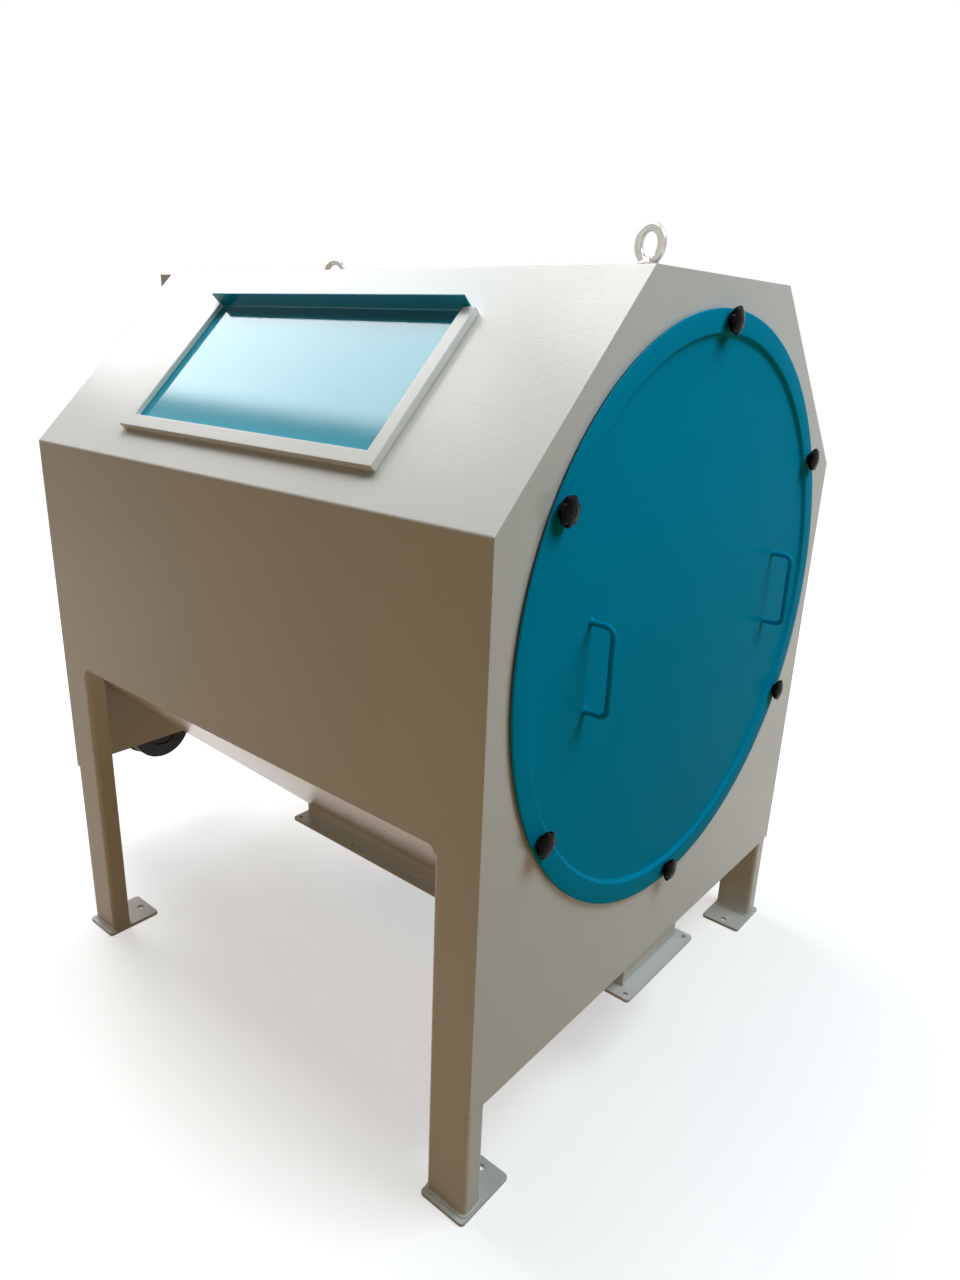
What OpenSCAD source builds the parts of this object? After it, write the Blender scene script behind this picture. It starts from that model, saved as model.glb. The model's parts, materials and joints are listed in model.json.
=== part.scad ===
// Drum sieve for grain: a turning screen drum inside an eight-sided sheet steel casing on four
// legs. X runs along the front, Y to the rear and Z up. The origin lies on the floor, midway
// between the four anchor holes.

/* [Casing] */
// Width over the two side panels
casing_w = 1200; // [1140:10:1400]
// Length from the face of the front plate to the face of the rear plate
casing_l = 1250; // [1150:10:1500]
// Height of the top panel above the floor
casing_h = 1560; // [1450:5:1800]
// Width of the flat top between the two upper slopes
top_w = 500; // [460:10:560]
// Height of an upper slope, from the shoulder bend to the top panel
slope_h = 355; // [335:5:375]
// Height of a side panel, from the shoulder bend down to its hopper plate
side_h = 497; // [475:1:515]
// Height of the hopper, from a side panel's lower edge down to the outlet neck
hopper_h = 473; // [455:1:485]
// Height of the rear hopper plate
rear_hopper_h = 201; // [185:1:215]
// Thickness of the casing sheets
sheet_t = 3; // [2:0.5:4]
// Outer radius of the sheet bends
bend_r = 8; // [5:1:12]
// Inner corner radius between a leg and the side panel's lower edge
leg_corner_r = 12; // [4:1:20]
// Width of the seam flange that a side panel turns onto the top
top_return = 22; // [16:1:28]

/* [Legs] */
// Leg tube size along X
leg_w = 45; // [40:1:60]
// Leg tube size along Y
leg_d = 90; // [70:1:100]
// Wall of the leg tube
leg_t = 4; // [3:0.5:5]
// Corner radius of the leg tube
leg_r = 9; // [6:1:12]
// Distance of a leg's top below the shoulder
leg_top_gap = 30; // [20:1:60]
// Foot plate size along X
foot_w = 130; // [120:1:150]
// Foot plate size along Y
foot_d = 100; // [100:1:120]
// Foot plate thickness
foot_t = 8; // [6:1:12]
// Corner radius of a foot plate
foot_r = 8; // [3:1:12]
// How far a foot plate stands out past the side panel
foot_out = 12; // [6:1:20]
// How far a foot plate stands out past the front and rear plates
foot_past = 3; // [2:1:8]
// Radius of the anchor hole in a foot plate
foot_hole_r = 7; // [5:0.5:9]
// Distance of the anchor hole from the foot plate's inner edge
foot_hole_in = 21; // [16:1:28]

/* [Hopper and outlet] */
// Outer width of the outlet neck
neck_w = 220; // [200:10:260]
// Distance from the rear plate's face to the rear face of the outlet neck
neck_in = 255; // [225:5:295]
// Height of the outlet neck down to the outlet flange's lower face
neck_h = 49; // [35:1:65]
// Outlet flange thickness
flange_t = 7; // [5:1:10]
// How far the outlet flange stands out beside the neck
flange_side = 30; // [28:1:40]
// How far the outlet flange stands out in front of the casing and behind the neck
flange_end = 28; // [27:1:40]
// Corner radius of the outlet flange
flange_r = 8; // [3:1:12]
// Radius of the outlet flange's bolt holes
flange_hole_r = 5; // [3:0.5:6]
// Distance of those holes from the flange's outer edge
flange_hole_in = 15; // [13:1:17]
// Bolt holes along each side of the flange
flange_holes = 6; // [4:2:10]
// Inner bend radius where a hopper plate turns down into the neck
neck_bend_r = 12; // [6:1:20]
// Distance from the front plate's face to the divider between coarse overs and screened grain
divider_in = 113; // [106:1:120]
// Distance of the divider's upper edge below a side panel's lower edge
divider_down = 68; // [55:1:100]

/* [Front cover] */
// Outer radius of the round cover
cover_r = 550; // [546:1:560]
// Radius of the recessed middle
dish_r = 511; // [506:1:512]
// Depth of the recess
dish_step = 7; // [5:1:16]
// Slant of the recess wall, measured along the radius
dish_draft = 5; // [4:1:10]
// Cover sheet thickness
cover_t = 3; // [2:0.5:4]
// Gasket thickness between cover and front plate
gasket_t = 4; // [3:0.5:6]
// Gasket width
gasket_w = 26; // [24:1:28]
// Distance of the gasket's edge inside the cover's edge
gasket_in = 1; // [0.5:0.5:2]
// Gap that is left where the cover seats on the front plate
seat_gap = 0.2; // [0.1:0.1:0.5]
// Gap between the recessed middle and the opening in the front plate
opening_gap = 4; // [2:0.5:5]
// Distance of the two handles from the middle
handle_x = 350; // [250:5:400]
// Height of a handle between its two feet
handle_h = 150; // [110:5:180]
// Diameter of the handle bar
handle_d = 10; // [8:1:14]
// Distance of the handle bar's middle from the recessed face
handle_out = 43; // [35:1:60]
// Bend radius of the handle bar's middle
handle_bend_r = 14; // [12:1:20]

/* [Star knobs] */
// Radius of the circle that the knobs lie on
knob_circle_r = 531; // [530:0.5:532]
// Angle of the first knob from the horizontal
knob_first = 30; // [30:1:40]
// Outer radius of a knob's head
knob_r = 24; // [22:1:26]
// Radius of a lobe
knob_lobe_r = 8; // [6:0.5:9]
// Lobes round a knob
knob_lobes = 7; // [5:1:8]
// Height of a knob's head
knob_head_h = 15; // [12:1:28]
// Height of the neck between cover and head
knob_neck_h = 5; // [4:1:20]
// Radius of the neck at the cover
knob_neck_r = 12; // [11:1:13]
// Radius of the neck under the head
knob_waist_r = 10; // [8:1:11]
// Radius of the head's underside, where its lobes are bevelled
knob_under_r = 17; // [15:0.5:22]
// Radius of the dome over the head
knob_dome_r = 60; // [30:1:80]
// Radius of the knob's screw
knob_screw_r = 6; // [4:0.5:6]
// Height of the web between two lobes, outside the circle of their middles
knob_web = 4.5; // [0.5:0.5:6]
// Clearance round the screw in sheet and gasket
screw_hole_gap = 1; // [0.5:0.25:1]
// Height of a weld nut
weld_nut_h = 12; // [8:1:16]
// Width across the flats of a weld nut
weld_nut_w = 19; // [18:1:20]

/* [Hatch] */
// Distance of the hatch frame's lower edge up the slope from the shoulder bend
hatch_s0 = 66; // [50:2:90]
// Distance of the panel's upper edge up the slope from the shoulder bend
hatch_s1 = 398; // [380:2:420]
// Outer width of the hatch frame
hatch_frame_w = 710; // [600:10:900]
// Width of a frame bar
hatch_bar_w = 28; // [24:1:36]
// Height of a frame bar above the slope
hatch_bar_h = 14; // [10:1:20]
// Width of the groove in a frame bar that holds the panel
hatch_groove_w = 14; // [10:1:16]
// Thickness of the sliding panel
hatch_panel_t = 2.5; // [2:0.5:4]
// Height of the lip on the panel's upper edge
hatch_lip_h = 34; // [25:1:45]
// Gap between panel and frame or slope
hatch_gap = 0.4; // [0.3:0.1:1]
// Inner bend radius of the lip
hatch_lip_r = 1.5; // [1:0.5:3]
// Gap between the frame bars' upper ends and the lip
hatch_stop_gap = 2; // [1:0.5:5]
// Gap under the frame, which its weld seam closes
hatch_weld_gap = 0.05; // [0.02:0.01:0.1]
// Width of the border of sheet round the hatch opening, inside the frame's outer edge
hatch_border = 55; // [48:1:70]

/* [Lifting eyes] */
// Middle of the eyes' rings above the top panel
eye_ring_z = 31; // [30:0.5:34]
// Outer radius of a ring
eye_ring_r = 31.5; // [29:0.5:32]
// Radius of the ring's bar
eye_bar_r = 7; // [5:0.5:7]
// Radius of the collar under the ring
eye_collar_r = 17; // [15:0.5:18]
// Radius of the collar's upper end
eye_collar_top_r = 13; // [11:0.5:14]
// Height of the collar
eye_collar_h = 8; // [6:1:10]
// Radius of the threaded shank
eye_shank_r = 8; // [6:1:8]
// Length of the shank below the top panel's face
eye_shank_l = 27; // [24:1:40]
// X of the front eye, the rear eye is on the other side
eye_x = 200; // [180:1:206]
// Distance of an eye from the outer face of the end plate
eye_in = 43; // [36:1:80]
// Turn of the front ring about its shank
eye_turn_front = -15; // [-90:5:90]
// Turn of the rear ring about its shank
eye_turn_rear = 20; // [-90:5:90]
// Thickness of the pad under the top panel that an eye is screwed into
eye_pad_t = 16; // [12:1:20]

/* [Drum] */
// Distance of the drum's axis and the cover's middle below the top panel
drum_down = 600; // [592:1:608]
// Outer radius of the screen
drum_r = 487; // [450:1:490]
// Thickness of the screen sheet
screen_t = 2; // [1:0.5:3]
// Distance from the front plate's face to the front end of the drum
drum_front_gap = 105; // [102:1:110]
// Distance from the rear plate's face to the rear end of the drum
drum_rear_gap = 27; // [20:1:35]
// Radial height of the drum's rings and tie bars
ring_h = 14; // [10:1:20]
// Width of a ring
ring_w = 30; // [20:1:40]
// Tie bars along the drum
tie_bars = 8; // [8:4:12]
// Width of a tie bar
tie_w = 40; // [25:1:60]
// Radial height of the spiral flights
flight_h = 32; // [20:1:50]
// Axial thickness of a flight
flight_t = 3; // [2:0.5:5]
// Length that a flight needs for one turn
flight_lead = 620; // [500:10:900]
// Number of flights
flights = 3; // [2:1:4]
// Gap between the drum's hub and the bearing housing's cap
hub_gap = 10; // [6:1:20]
// Thickness of the spider's spokes
spoke_t = 12; // [8:1:16]
// Width of a spoke
spoke_w = 70; // [50:1:90]
// Radius of the shaft
shaft_r = 25; // [20:1:30]
// Radius of the hub
hub_r = 75; // [60:1:80]
// Length of the hub
hub_l = 60; // [50:1:70]

/* [Bearings] */
// Outer radius of the bearing housing
housing_r = 70; // [66:1:74]
// Outer radius of a bearing
bearing_r = 55; // [50:1:58]
// Width of a bearing
bearing_w = 27; // [20:1:32]
// Radial wall of a bearing ring
bearing_ring = 9; // [7:0.5:10]
// Thickness of the caps at the housing's ends
bearing_cap_t = 8; // [5:1:10]
// Radial gap between bearing housing and bearing ring, or ring and shaft
fit_gap = 0.05; // [0.02:0.01:0.1]
// Length of the housing in front of the rear plate's outer face
housing_in = 185; // [170:1:190]
// Radius of the housing's flange
housing_flange_r = 115; // [105:1:130]
// Thickness of the housing's flange and of the bearing plate
housing_flange_t = 14; // [10:1:16]
// Flange bolts of the bearing housing
housing_bolts = 8; // [4:1:8]
// Radius of a flange bolt
housing_bolt_r = 6; // [5:1:8]
// Height of the bearing plate between the rails
bearing_plate_h = 270; // [250:10:290]

/* [Drive] */
// X of the motor pulley's axis
motor_x = -332; // [-345:1:-320]
// Distance of the motor pulley's axis below the drum's axis
motor_down = 536; // [530:1:545]
// Outer radius of the motor pulley
small_pulley_r = 80; // [70:1:84]
// Outer radius of the drum pulley
big_pulley_r = 215; // [200:1:218]
// Distance of the pulleys' front face from the rear plate's face
pulley_y = 71; // [70:1:76]
// Face width of the pulleys
pulley_w = 44; // [44:1:50]
// Distance between the grooves
belt_pitch = 19; // [19:0.5:20]
// Top width of a belt
belt_w = 16; // [14:1:16]
// Height of a belt
belt_h = 10; // [8:1:11]
// Gap between belt and groove
belt_gap = 0.3; // [0.2:0.1:0.6]
// Radius of the motor pulley's shaft
drive_shaft_r = 14; // [12:1:16]
// Size of a vertical rail behind the rear plate, along X
rail_w = 60; // [50:1:80]
// Size of a rail along Y
rail_d = 40; // [30:1:42]
// Distance of the rails from the middle
rail_x = 300; // [290:1:310]
// Distance of the rails' upper end above the drum's axis
rail_up = 380; // [340:10:400]
// Wall of a rail
rail_t = 4; // [3:0.5:6]
// Distance from the rear plate's face to the motor plate's front face
motor_plate_y = 132; // [130:1:140]
// Thickness of the motor plate
motor_plate_t = 10; // [8:1:12]
// Radius of the worm gearbox about the output shaft
gearbox_r = 72; // [66:1:76]
// Length of the gearbox along the pulley's axis
gearbox_l = 132; // [110:1:140]
// Height of the motor's axis above the output shaft
worm_rise = 60; // [50:1:70]
// Radius of the motor's body
motor_r = 62; // [55:1:64]
// Length of the motor's body
motor_l = 190; // [150:5:240]
// Length of the fan cowl
cowl_l = 42; // [30:1:60]
// Length of the terminal box along the motor
terminal_l = 86; // [70:1:100]
// Width of the terminal box
terminal_w = 72; // [60:1:80]
// Height of the terminal box above the motor's body
terminal_h = 27; // [22:1:36]
// Outer radius of a motor plate standoff
standoff_r = 14; // [10:1:16]
// Gap between the belts' pulleys and the guard's side wall
guard_gap = 24; // [18:1:28]
// Thickness of the belt guard's sheet
guard_t = 2; // [1.5:0.5:3]
// Height of the guard's lower end above the motor pulley's axis
guard_up = 26; // [21:1:46]

/* [Inlet] */
// Outer width of the inlet box
inlet_w = 400; // [380:10:440]
// Depth of the inlet box behind the rear plate
inlet_d = 135; // [120:1:160]
// Width of the opening in the rear plate
throat_w = 320; // [280:10:330]
// Distance of the opening's lower edge below the top panel
throat_down = 395; // [375:5:400]
// Height of the opening in the rear plate
throat_h = 200; // [175:5:205]
// Rise of the inlet floor from the rear plate to the box's back
inlet_rise = 195; // [150:5:210]
// Thickness of the inlet flange
inlet_flange_t = 5; // [4:1:8]
// Width of the inlet flange beside the mouth
inlet_flange_w = 34; // [30:1:40]
// Radius of the inlet flange's bolt holes
inlet_hole_r = 5.5; // [4:0.5:6.5]
// How far the tray reaches into the drum past the rear plate's inner face
tray_in = 40; // [30:1:48]
// Radius of the collar inside the drum's rear end, measured outside
collar_r = 461; // [455:1:463]
// Length of the collar
collar_l = 60; // [50:1:70]

/* [Brush] */
// Distance of the brush from each end of the drum
brush_end = 59; // [39:1:159]
// Height of the bristles
bristle_h = 42; // [30:1:50]
// Width of the bristle strip
bristle_w = 34; // [20:1:40]
// Height of the brush's back board
brush_back_h = 22; // [16:1:26]
// Width of the back board
brush_back_w = 60; // [50:1:80]
// Gap between bristles and screen
brush_gap = 0.4; // [0.3:0.1:1]

/* [Hidden] */
$fn = 96;
knob_count = 6;
spokes = 4;
belt_count = 2;

casing_paint = [0.80, 0.80, 0.77];
cover_paint = [0.00, 0.43, 0.55];
hatch_paint = [0.00, 0.57, 0.67];
bare_steel = [0.62, 0.63, 0.65];
black = [0.06, 0.06, 0.07];
machine_grey = [0.30, 0.33, 0.36];

half_w = casing_w / 2;
half_top = top_w / 2;
front_y = -casing_l / 2;
rear_y = casing_l / 2;
inner_front_y = front_y + sheet_t;
inner_rear_y = rear_y - sheet_t;
slope_run = half_w - half_top;
slope_angle = atan2(slope_h, slope_run);
shoulder_z = casing_h - slope_h;
side_low_z = shoulder_z - side_h;
skirt_z = side_low_z - hopper_h;
rear_low_z = skirt_z + rear_hopper_h;
outlet_z = skirt_z - neck_h;
neck_half = neck_w / 2;
neck_rear_y = rear_y - neck_in;
divider_y = front_y + divider_in;
drum_z = casing_h - drum_down;

// Plane helpers: a drawing in X and Z stretched along Y, and one in Y and Z stretched along X
module along_y(y0, y1) {
    translate([0, y1, 0])
        rotate([90, 0, 0])
            linear_extrude(y1 - y0)
                children();
}

module along_x(x0, x1) {
    translate([x0, 0, 0])
        rotate([90, 0, 90])
            linear_extrude(x1 - x0)
                children();
}

// A round solid whose axis is parallel to Y, starting at y0 and growing to the rear
module round_y(x, z, y0, h, r, r2 = -1) {
    translate([x, y0, z])
        rotate([-90, 0, 0])
            cylinder(h = h, r1 = r, r2 = r2 < 0 ? r : r2);
}

// A solid turned about an axis parallel to Y: the profile is drawn as radius and distance to the rear
module turned_y(x, z, y0) {
    translate([x, y0, z])
        rotate([-90, 0, 0])
            rotate_extrude()
                children();
}

module mirrored_x() {
    children();
    mirror([1, 0, 0])
        children();
}

// A rectangle from corner a to corner b with round corners
module round_rect(a, b, r) {
    translate([a[0] + r, a[1]])
        square([b[0] - a[0] - 2 * r, b[1] - a[1]]);
    translate([a[0], a[1] + r])
        square([b[0] - a[0], b[1] - a[1] - 2 * r]);
    for (x = [a[0] + r, b[0] - r], y = [a[1] + r, b[1] - r])
        translate([x, y])
            circle(r);
}

function unit(v) = v / norm(v);
function left_of(u) = [-u[1], u[0]];
function cross2(a, b) = a[0] * b[1] - a[1] * b[0];

// Points round one bend of a folded sheet between the directions u1 and u2, whose reference
// face turns at p with the radius r. The points lie shift to the left of that face
bend_steps = 6;
function turned(v, a) = [v[0] * cos(a) - v[1] * sin(a), v[0] * sin(a) + v[1] * cos(a)];
function bend_points(p, u1, u2, r, shift) =
    let (turn = cross2(u1, u2) > 0 ? 1 : -1)
    let (angle = acos(u1 * u2))
    let (centre = p - u1 * r * tan(angle / 2) + left_of(u1) * turn * r)
    let (arm = (shift - turn * r) * left_of(u1))
    [for (k = [0:bend_steps]) centre + turned(arm, turn * angle * k / bend_steps)];

function folded_path(pts, r, shift) =
    let (last = len(pts) - 1)
    let (u = [for (i = [0:last - 1]) unit(pts[i + 1] - pts[i])])
    concat(
        [pts[0] + shift * left_of(u[0])],
        [for (i = [1:1:last - 1]) each bend_points(pts[i], u[i - 1], u[i], r, shift)],
        [pts[last] + shift * left_of(u[last - 1])]);

// A folded sheet: its reference face runs through pts, and its thickness lies to the left of
// the way of travel for side 1 and to the right for side -1
module folded_sheet(pts, t, r, side) {
    back = folded_path(pts, r, side * t);
    polygon(concat(folded_path(pts, r, 0), [for (i = [len(back) - 1:-1:0]) back[i]]));
}

// The casing's outline in X and Z above the height low, moved inwards by d
function shoulder_in(d) = shoulder_z - d * (1 - sin(slope_angle)) / cos(slope_angle);
function half_top_in(d) = half_w - (slope_h + d * (1 / cos(slope_angle) - 1)) / tan(slope_angle);
module casing_outline(low, d = 0) {
    polygon([
        [-half_w + d, low], [-half_w + d, shoulder_in(d)], [-half_top_in(d), casing_h - d],
        [half_top_in(d), casing_h - d], [half_w - d, shoulder_in(d)], [half_w - d, low]]);
}

// The left upper slope as a working plane: X runs up the slope from the shoulder bend, Y stays
// and Z points outwards
module on_slope() {
    translate([-half_w, 0, shoulder_z])
        rotate([0, -slope_angle, 0])
            children();
}

// Front plate with its round opening and the holes for the knob screws
opening_r = dish_r + cover_t + opening_gap;
screw_hole_r = knob_screw_r + screw_hole_gap;
function knob_angle(i) = knob_first + 360 / knob_count * i;
function knob_at(i) = knob_circle_r * [cos(knob_angle(i)), sin(knob_angle(i))];

module knob_holes() {
    for (i = [0:knob_count - 1])
        translate(knob_at(i))
            circle(screw_hole_r);
}

module front_plate() {
    color(casing_paint)
        along_y(front_y, inner_front_y)
            difference() {
                casing_outline(skirt_z);
                translate([0, drum_z]) {
                    circle(opening_r);
                    knob_holes();
                }
            }
}

// Rear plate with the hole for the bearing housing, its bolt holes and the inlet opening
throat_z0 = casing_h - throat_down;
housing_hole_r = housing_r + screw_hole_gap;
housing_bolt_circle = (housing_r + housing_flange_r) / 2;
function bolt_at(i) = housing_bolt_circle * [cos(360 / housing_bolts * (i + 0.5)),
    sin(360 / housing_bolts * (i + 0.5))];

module housing_holes() {
    translate([0, drum_z]) {
        circle(housing_hole_r);
        for (i = [0:housing_bolts - 1])
            translate(bolt_at(i))
                circle(housing_bolt_r + screw_hole_gap / 2);
    }
}

module rear_plate() {
    color(casing_paint)
        along_y(inner_rear_y, rear_y)
            difference() {
                casing_outline(rear_low_z);
                housing_holes();
                translate([-throat_w / 2, throat_z0])
                    square([throat_w, throat_h]);
            }
}

// Side panel: side, upper slope and seam flange in one folded sheet
panel_low_z = side_low_z - leg_corner_r;
fold_tail = 60;
leg_in_front_y = inner_front_y + leg_d;

module side_panel() {
    along_x(-half_w, -half_w + sheet_t)
        difference() {
            translate([inner_front_y, panel_low_z])
                square([inner_rear_y - inner_front_y, shoulder_z - fold_tail - panel_low_z]);
            round_rect([leg_in_front_y, 0], [-leg_in_front_y, side_low_z], leg_corner_r);
        }
    along_y(inner_front_y, inner_rear_y)
        folded_sheet([
            [-half_w, shoulder_z - fold_tail], [-half_w, shoulder_z],
            [-half_top, casing_h], [-half_top + top_return, casing_h]], sheet_t, bend_r, -1);
}

hatch_side_y = hatch_frame_w / 2;
hatch_open_y = hatch_side_y - hatch_border;
hatch_open_s0 = hatch_s0 + hatch_border;
hatch_open_s1 = hatch_s1 - hatch_border / 2;

module left_panel() {
    color(casing_paint)
        difference() {
            side_panel();
            on_slope()
                translate([hatch_open_s0, -hatch_open_y, -5 * sheet_t])
                    cube([hatch_open_s1 - hatch_open_s0, 2 * hatch_open_y, 10 * sheet_t]);
        }
}

module right_panel() {
    color(casing_paint)
        mirror([1, 0, 0])
            side_panel();
}

// Top panel between the two seam flanges, with the holes for the lifting eyes
eye_y = rear_y - eye_in;
eye_places = [[-eye_x, -eye_y], [eye_x, eye_y]];
top_edge_x = half_top - top_return;

module top_panel() {
    color(casing_paint)
        translate([0, 0, casing_h - sheet_t])
            linear_extrude(sheet_t)
                difference() {
                    translate([-top_edge_x, inner_front_y])
                        square([2 * top_edge_x, inner_rear_y - inner_front_y]);
                    for (p = eye_places)
                        translate(p)
                            circle(eye_shank_r + screw_hole_gap / 2);
                }
}

// Legs and feet are drawn at the front left corner and mirrored to the others
module at_corner(right, rear) {
    mirror([right, 0, 0])
        mirror([0, rear, 0])
            children();
}

leg_top_z = shoulder_z - leg_top_gap;
leg_inner_x = -half_w + leg_w;

module leg() {
    color(casing_paint)
        difference() {
            translate([0, 0, foot_t])
                linear_extrude(leg_top_z - foot_t)
                    difference() {
                        round_rect([-half_w, inner_front_y], [leg_inner_x, leg_in_front_y], leg_r);
                        round_rect([-half_w + leg_t, inner_front_y + leg_t],
                            [leg_inner_x - leg_t, leg_in_front_y - leg_t], leg_r - leg_t);
                    }
            translate([-half_w - sheet_t, inner_front_y - sheet_t, panel_low_z])
                cube([2 * sheet_t, leg_d + 2 * sheet_t, leg_top_z]);
        }
}

foot_x0 = -half_w - foot_out;
foot_y0 = front_y - foot_past;
foot_hole = [foot_x0 + foot_w - foot_hole_in, foot_y0 + foot_d / 2];

module foot() {
    color(casing_paint)
        linear_extrude(foot_t)
            difference() {
                round_rect([foot_x0, foot_y0], [foot_x0 + foot_w, foot_y0 + foot_d], foot_r);
                translate(foot_hole)
                    circle(foot_hole_r);
            }
}

// Hopper: the outer face of a side plate runs from the side panel down to the neck
hopper_x = half_w - sheet_t;
hopper_angle = atan2(side_low_z - skirt_z, hopper_x - neck_half);
flange_top_z = outlet_z + flange_t;
neck_front_y = inner_front_y;
function hopper_z(x, d) = side_low_z - (hopper_x - x) * tan(hopper_angle) + d / cos(hopper_angle);

// The space between the inner faces of the two side plates, above the height low
module hopper_inside(low, high) {
    neck_in = neck_half - sheet_t;
    high_x = min(hopper_x, hopper_x - (hopper_z(hopper_x, sheet_t) - high) / tan(hopper_angle));
    polygon([
        [-neck_in, low], [-neck_in, hopper_z(neck_in, sheet_t)], [-high_x, hopper_z(high_x, sheet_t)],
        [-high_x, high], [high_x, high], [high_x, hopper_z(high_x, sheet_t)],
        [neck_in, hopper_z(neck_in, sheet_t)], [neck_in, low]]);
}

rear_path = [[neck_rear_y, flange_top_z], [neck_rear_y, skirt_z], [inner_rear_y, rear_low_z]];

module side_hopper_plate() {
    start = [-hopper_x, side_low_z];
    bend = [-neck_half, skirt_z];
    back = start - unit(bend - start) * bend_r;
    difference() {
        along_y(inner_front_y, inner_rear_y)
            folded_sheet([back, bend, [-neck_half, flange_top_z]], sheet_t, neck_bend_r, 1);
        translate([-half_w - bend_r, front_y, 0])
            cube([half_w + bend_r - hopper_x, casing_l, shoulder_z]);
        for (rear = [0, 1])
            mirror([0, rear, 0])
                translate([-half_w, inner_front_y - sheet_t, 0])
                    cube([leg_w, leg_d + sheet_t, shoulder_z]);
        along_x(-half_w, 0)
            polygon(concat(rear_path, [[casing_l, rear_low_z], [casing_l, 0], [neck_rear_y, 0]]));
    }
}

module left_hopper_plate() {
    color(casing_paint)
        side_hopper_plate();
}

module right_hopper_plate() {
    color(casing_paint)
        mirror([1, 0, 0])
            side_hopper_plate();
}

module rear_hopper_plate() {
    color(casing_paint)
        difference() {
            along_x(-half_w, half_w)
                folded_sheet(rear_path, sheet_t, neck_bend_r, 1);
            along_y(front_y, rear_y)
                difference() {
                    translate([-casing_w, 0])
                        square([2 * casing_w, side_low_z]);
                    hopper_inside(0, side_low_z);
                }
        }
}

// Front wall of the neck, lapped behind the front plate's lower edge
neck_lap = 40;
module neck_front_wall() {
    color(casing_paint)
        along_y(neck_front_y, neck_front_y + sheet_t)
            hopper_inside(flange_top_z, skirt_z + neck_lap);
}

// Outlet flange round the neck, with bolt holes along its sides
flange_x = neck_half + flange_side;
flange_y0 = front_y - flange_end;
flange_y1 = neck_rear_y + flange_end;
flange_hole_y0 = flange_y0 + flange_hole_in;
flange_hole_pitch = (flange_y1 - flange_y0 - 2 * flange_hole_in) / (flange_holes - 1);

module outlet_flange() {
    color(casing_paint)
        translate([0, 0, outlet_z])
            linear_extrude(flange_t)
                difference() {
                    round_rect([-flange_x, flange_y0], [flange_x, flange_y1], flange_r);
                    translate([-neck_half + sheet_t, neck_front_y + sheet_t])
                        square([neck_w - 2 * sheet_t, neck_rear_y - neck_front_y - 2 * sheet_t]);
                    for (x = [-1, 1], i = [0:flange_holes - 1])
                        translate([x * (flange_x - flange_hole_in), flange_hole_y0 + i * flange_hole_pitch])
                            circle(flange_hole_r);
                }
}

// Divider under the front end of the drum, cut out round the drum
divider_gap = 8;
divider_top_z = side_low_z - divider_down;
module overs_divider() {
    color(casing_paint)
        along_y(divider_y, divider_y + sheet_t)
            difference() {
                hopper_inside(outlet_z, divider_top_z);
                translate([0, drum_z])
                    circle(drum_r + divider_gap);
            }
}

// Hatch: a three-sided frame whose bars have a groove for the sliding panel
groove_h = hatch_panel_t + 2 * hatch_gap;
panel_y = hatch_side_y - hatch_bar_w + hatch_groove_w - hatch_gap;
panel_s0 = hatch_s0 + hatch_bar_w - hatch_groove_w + hatch_gap;
bar_end_s = hatch_s1 - hatch_panel_t - hatch_stop_gap;

module hatch_frame() {
    color(casing_paint)
        on_slope()
            difference() {
                translate([0, 0, hatch_weld_gap])
                    linear_extrude(hatch_bar_h - hatch_weld_gap)
                        difference() {
                            translate([hatch_s0, -hatch_side_y])
                                square([bar_end_s - hatch_s0, hatch_frame_w]);
                            translate([hatch_s0 + hatch_bar_w, -hatch_side_y + hatch_bar_w])
                                square([hatch_s1, hatch_frame_w - 2 * hatch_bar_w]);
                        }
                translate([panel_s0 - hatch_gap, -panel_y - hatch_gap, 0])
                    cube([hatch_s1, 2 * (panel_y + hatch_gap), groove_h]);
            }
}

// Sliding panel with its lip, which is also the pull
module hatch_panel() {
    color(hatch_paint)
        on_slope()
            translate([0, panel_y, 0])
                rotate([90, 0, 0])
                    linear_extrude(2 * panel_y)
                        folded_sheet([[panel_s0, hatch_gap], [hatch_s1, hatch_gap],
                            [hatch_s1, hatch_lip_h]], hatch_panel_t, hatch_panel_t + hatch_lip_r, 1);
}

// Round cover: a pressed disc whose rim laps the front plate
cover_back_y = front_y - seat_gap - gasket_t;
cover_front_y = cover_back_y - cover_t;
dish_front_y = cover_front_y + dish_step;
cover_wall_in = cover_t * tan(atan2(dish_step, dish_draft) / 2);

module cover_disc() {
    color(cover_paint)
        difference() {
            turned_y(0, drum_z, cover_front_y)
                polygon([
                    [0, dish_step], [dish_r - dish_draft, dish_step], [dish_r, 0], [cover_r, 0],
                    [cover_r, cover_t], [dish_r + cover_wall_in, cover_t],
                    [dish_r - dish_draft + cover_wall_in, dish_step + cover_t], [0, dish_step + cover_t]]);
            along_y(cover_front_y - cover_t, cover_back_y + cover_t)
                translate([0, drum_z])
                    knob_holes();
        }
}

module cover_gasket() {
    color(black)
        along_y(cover_back_y, front_y - seat_gap)
            translate([0, drum_z])
                difference() {
                    circle(cover_r - gasket_in);
                    circle(cover_r - gasket_in - gasket_w);
                    knob_holes();
                }
}

// Bent bar handles, welded to the recessed face
module cover_handles() {
    color(cover_paint)
        for (side = [-1, 1])
            translate([side * handle_x, dish_front_y, drum_z])
                rotate([90, 0, 0])
                    for (end = [0, 1])
                        mirror([0, end, 0]) {
                            translate([0, handle_h / 2, 0])
                                cylinder(h = handle_out - handle_bend_r, d = handle_d);
                            translate([0, handle_h / 2 - handle_bend_r, handle_out - handle_bend_r])
                                rotate([0, -90, 0])
                                    rotate_extrude(angle = 90)
                                        translate([handle_bend_r, 0])
                                            circle(d = handle_d);
                            translate([0, 0, handle_out])
                                rotate([-90, 0, 0])
                                    cylinder(h = handle_h / 2 - handle_bend_r, d = handle_d);
                        }
}

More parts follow.
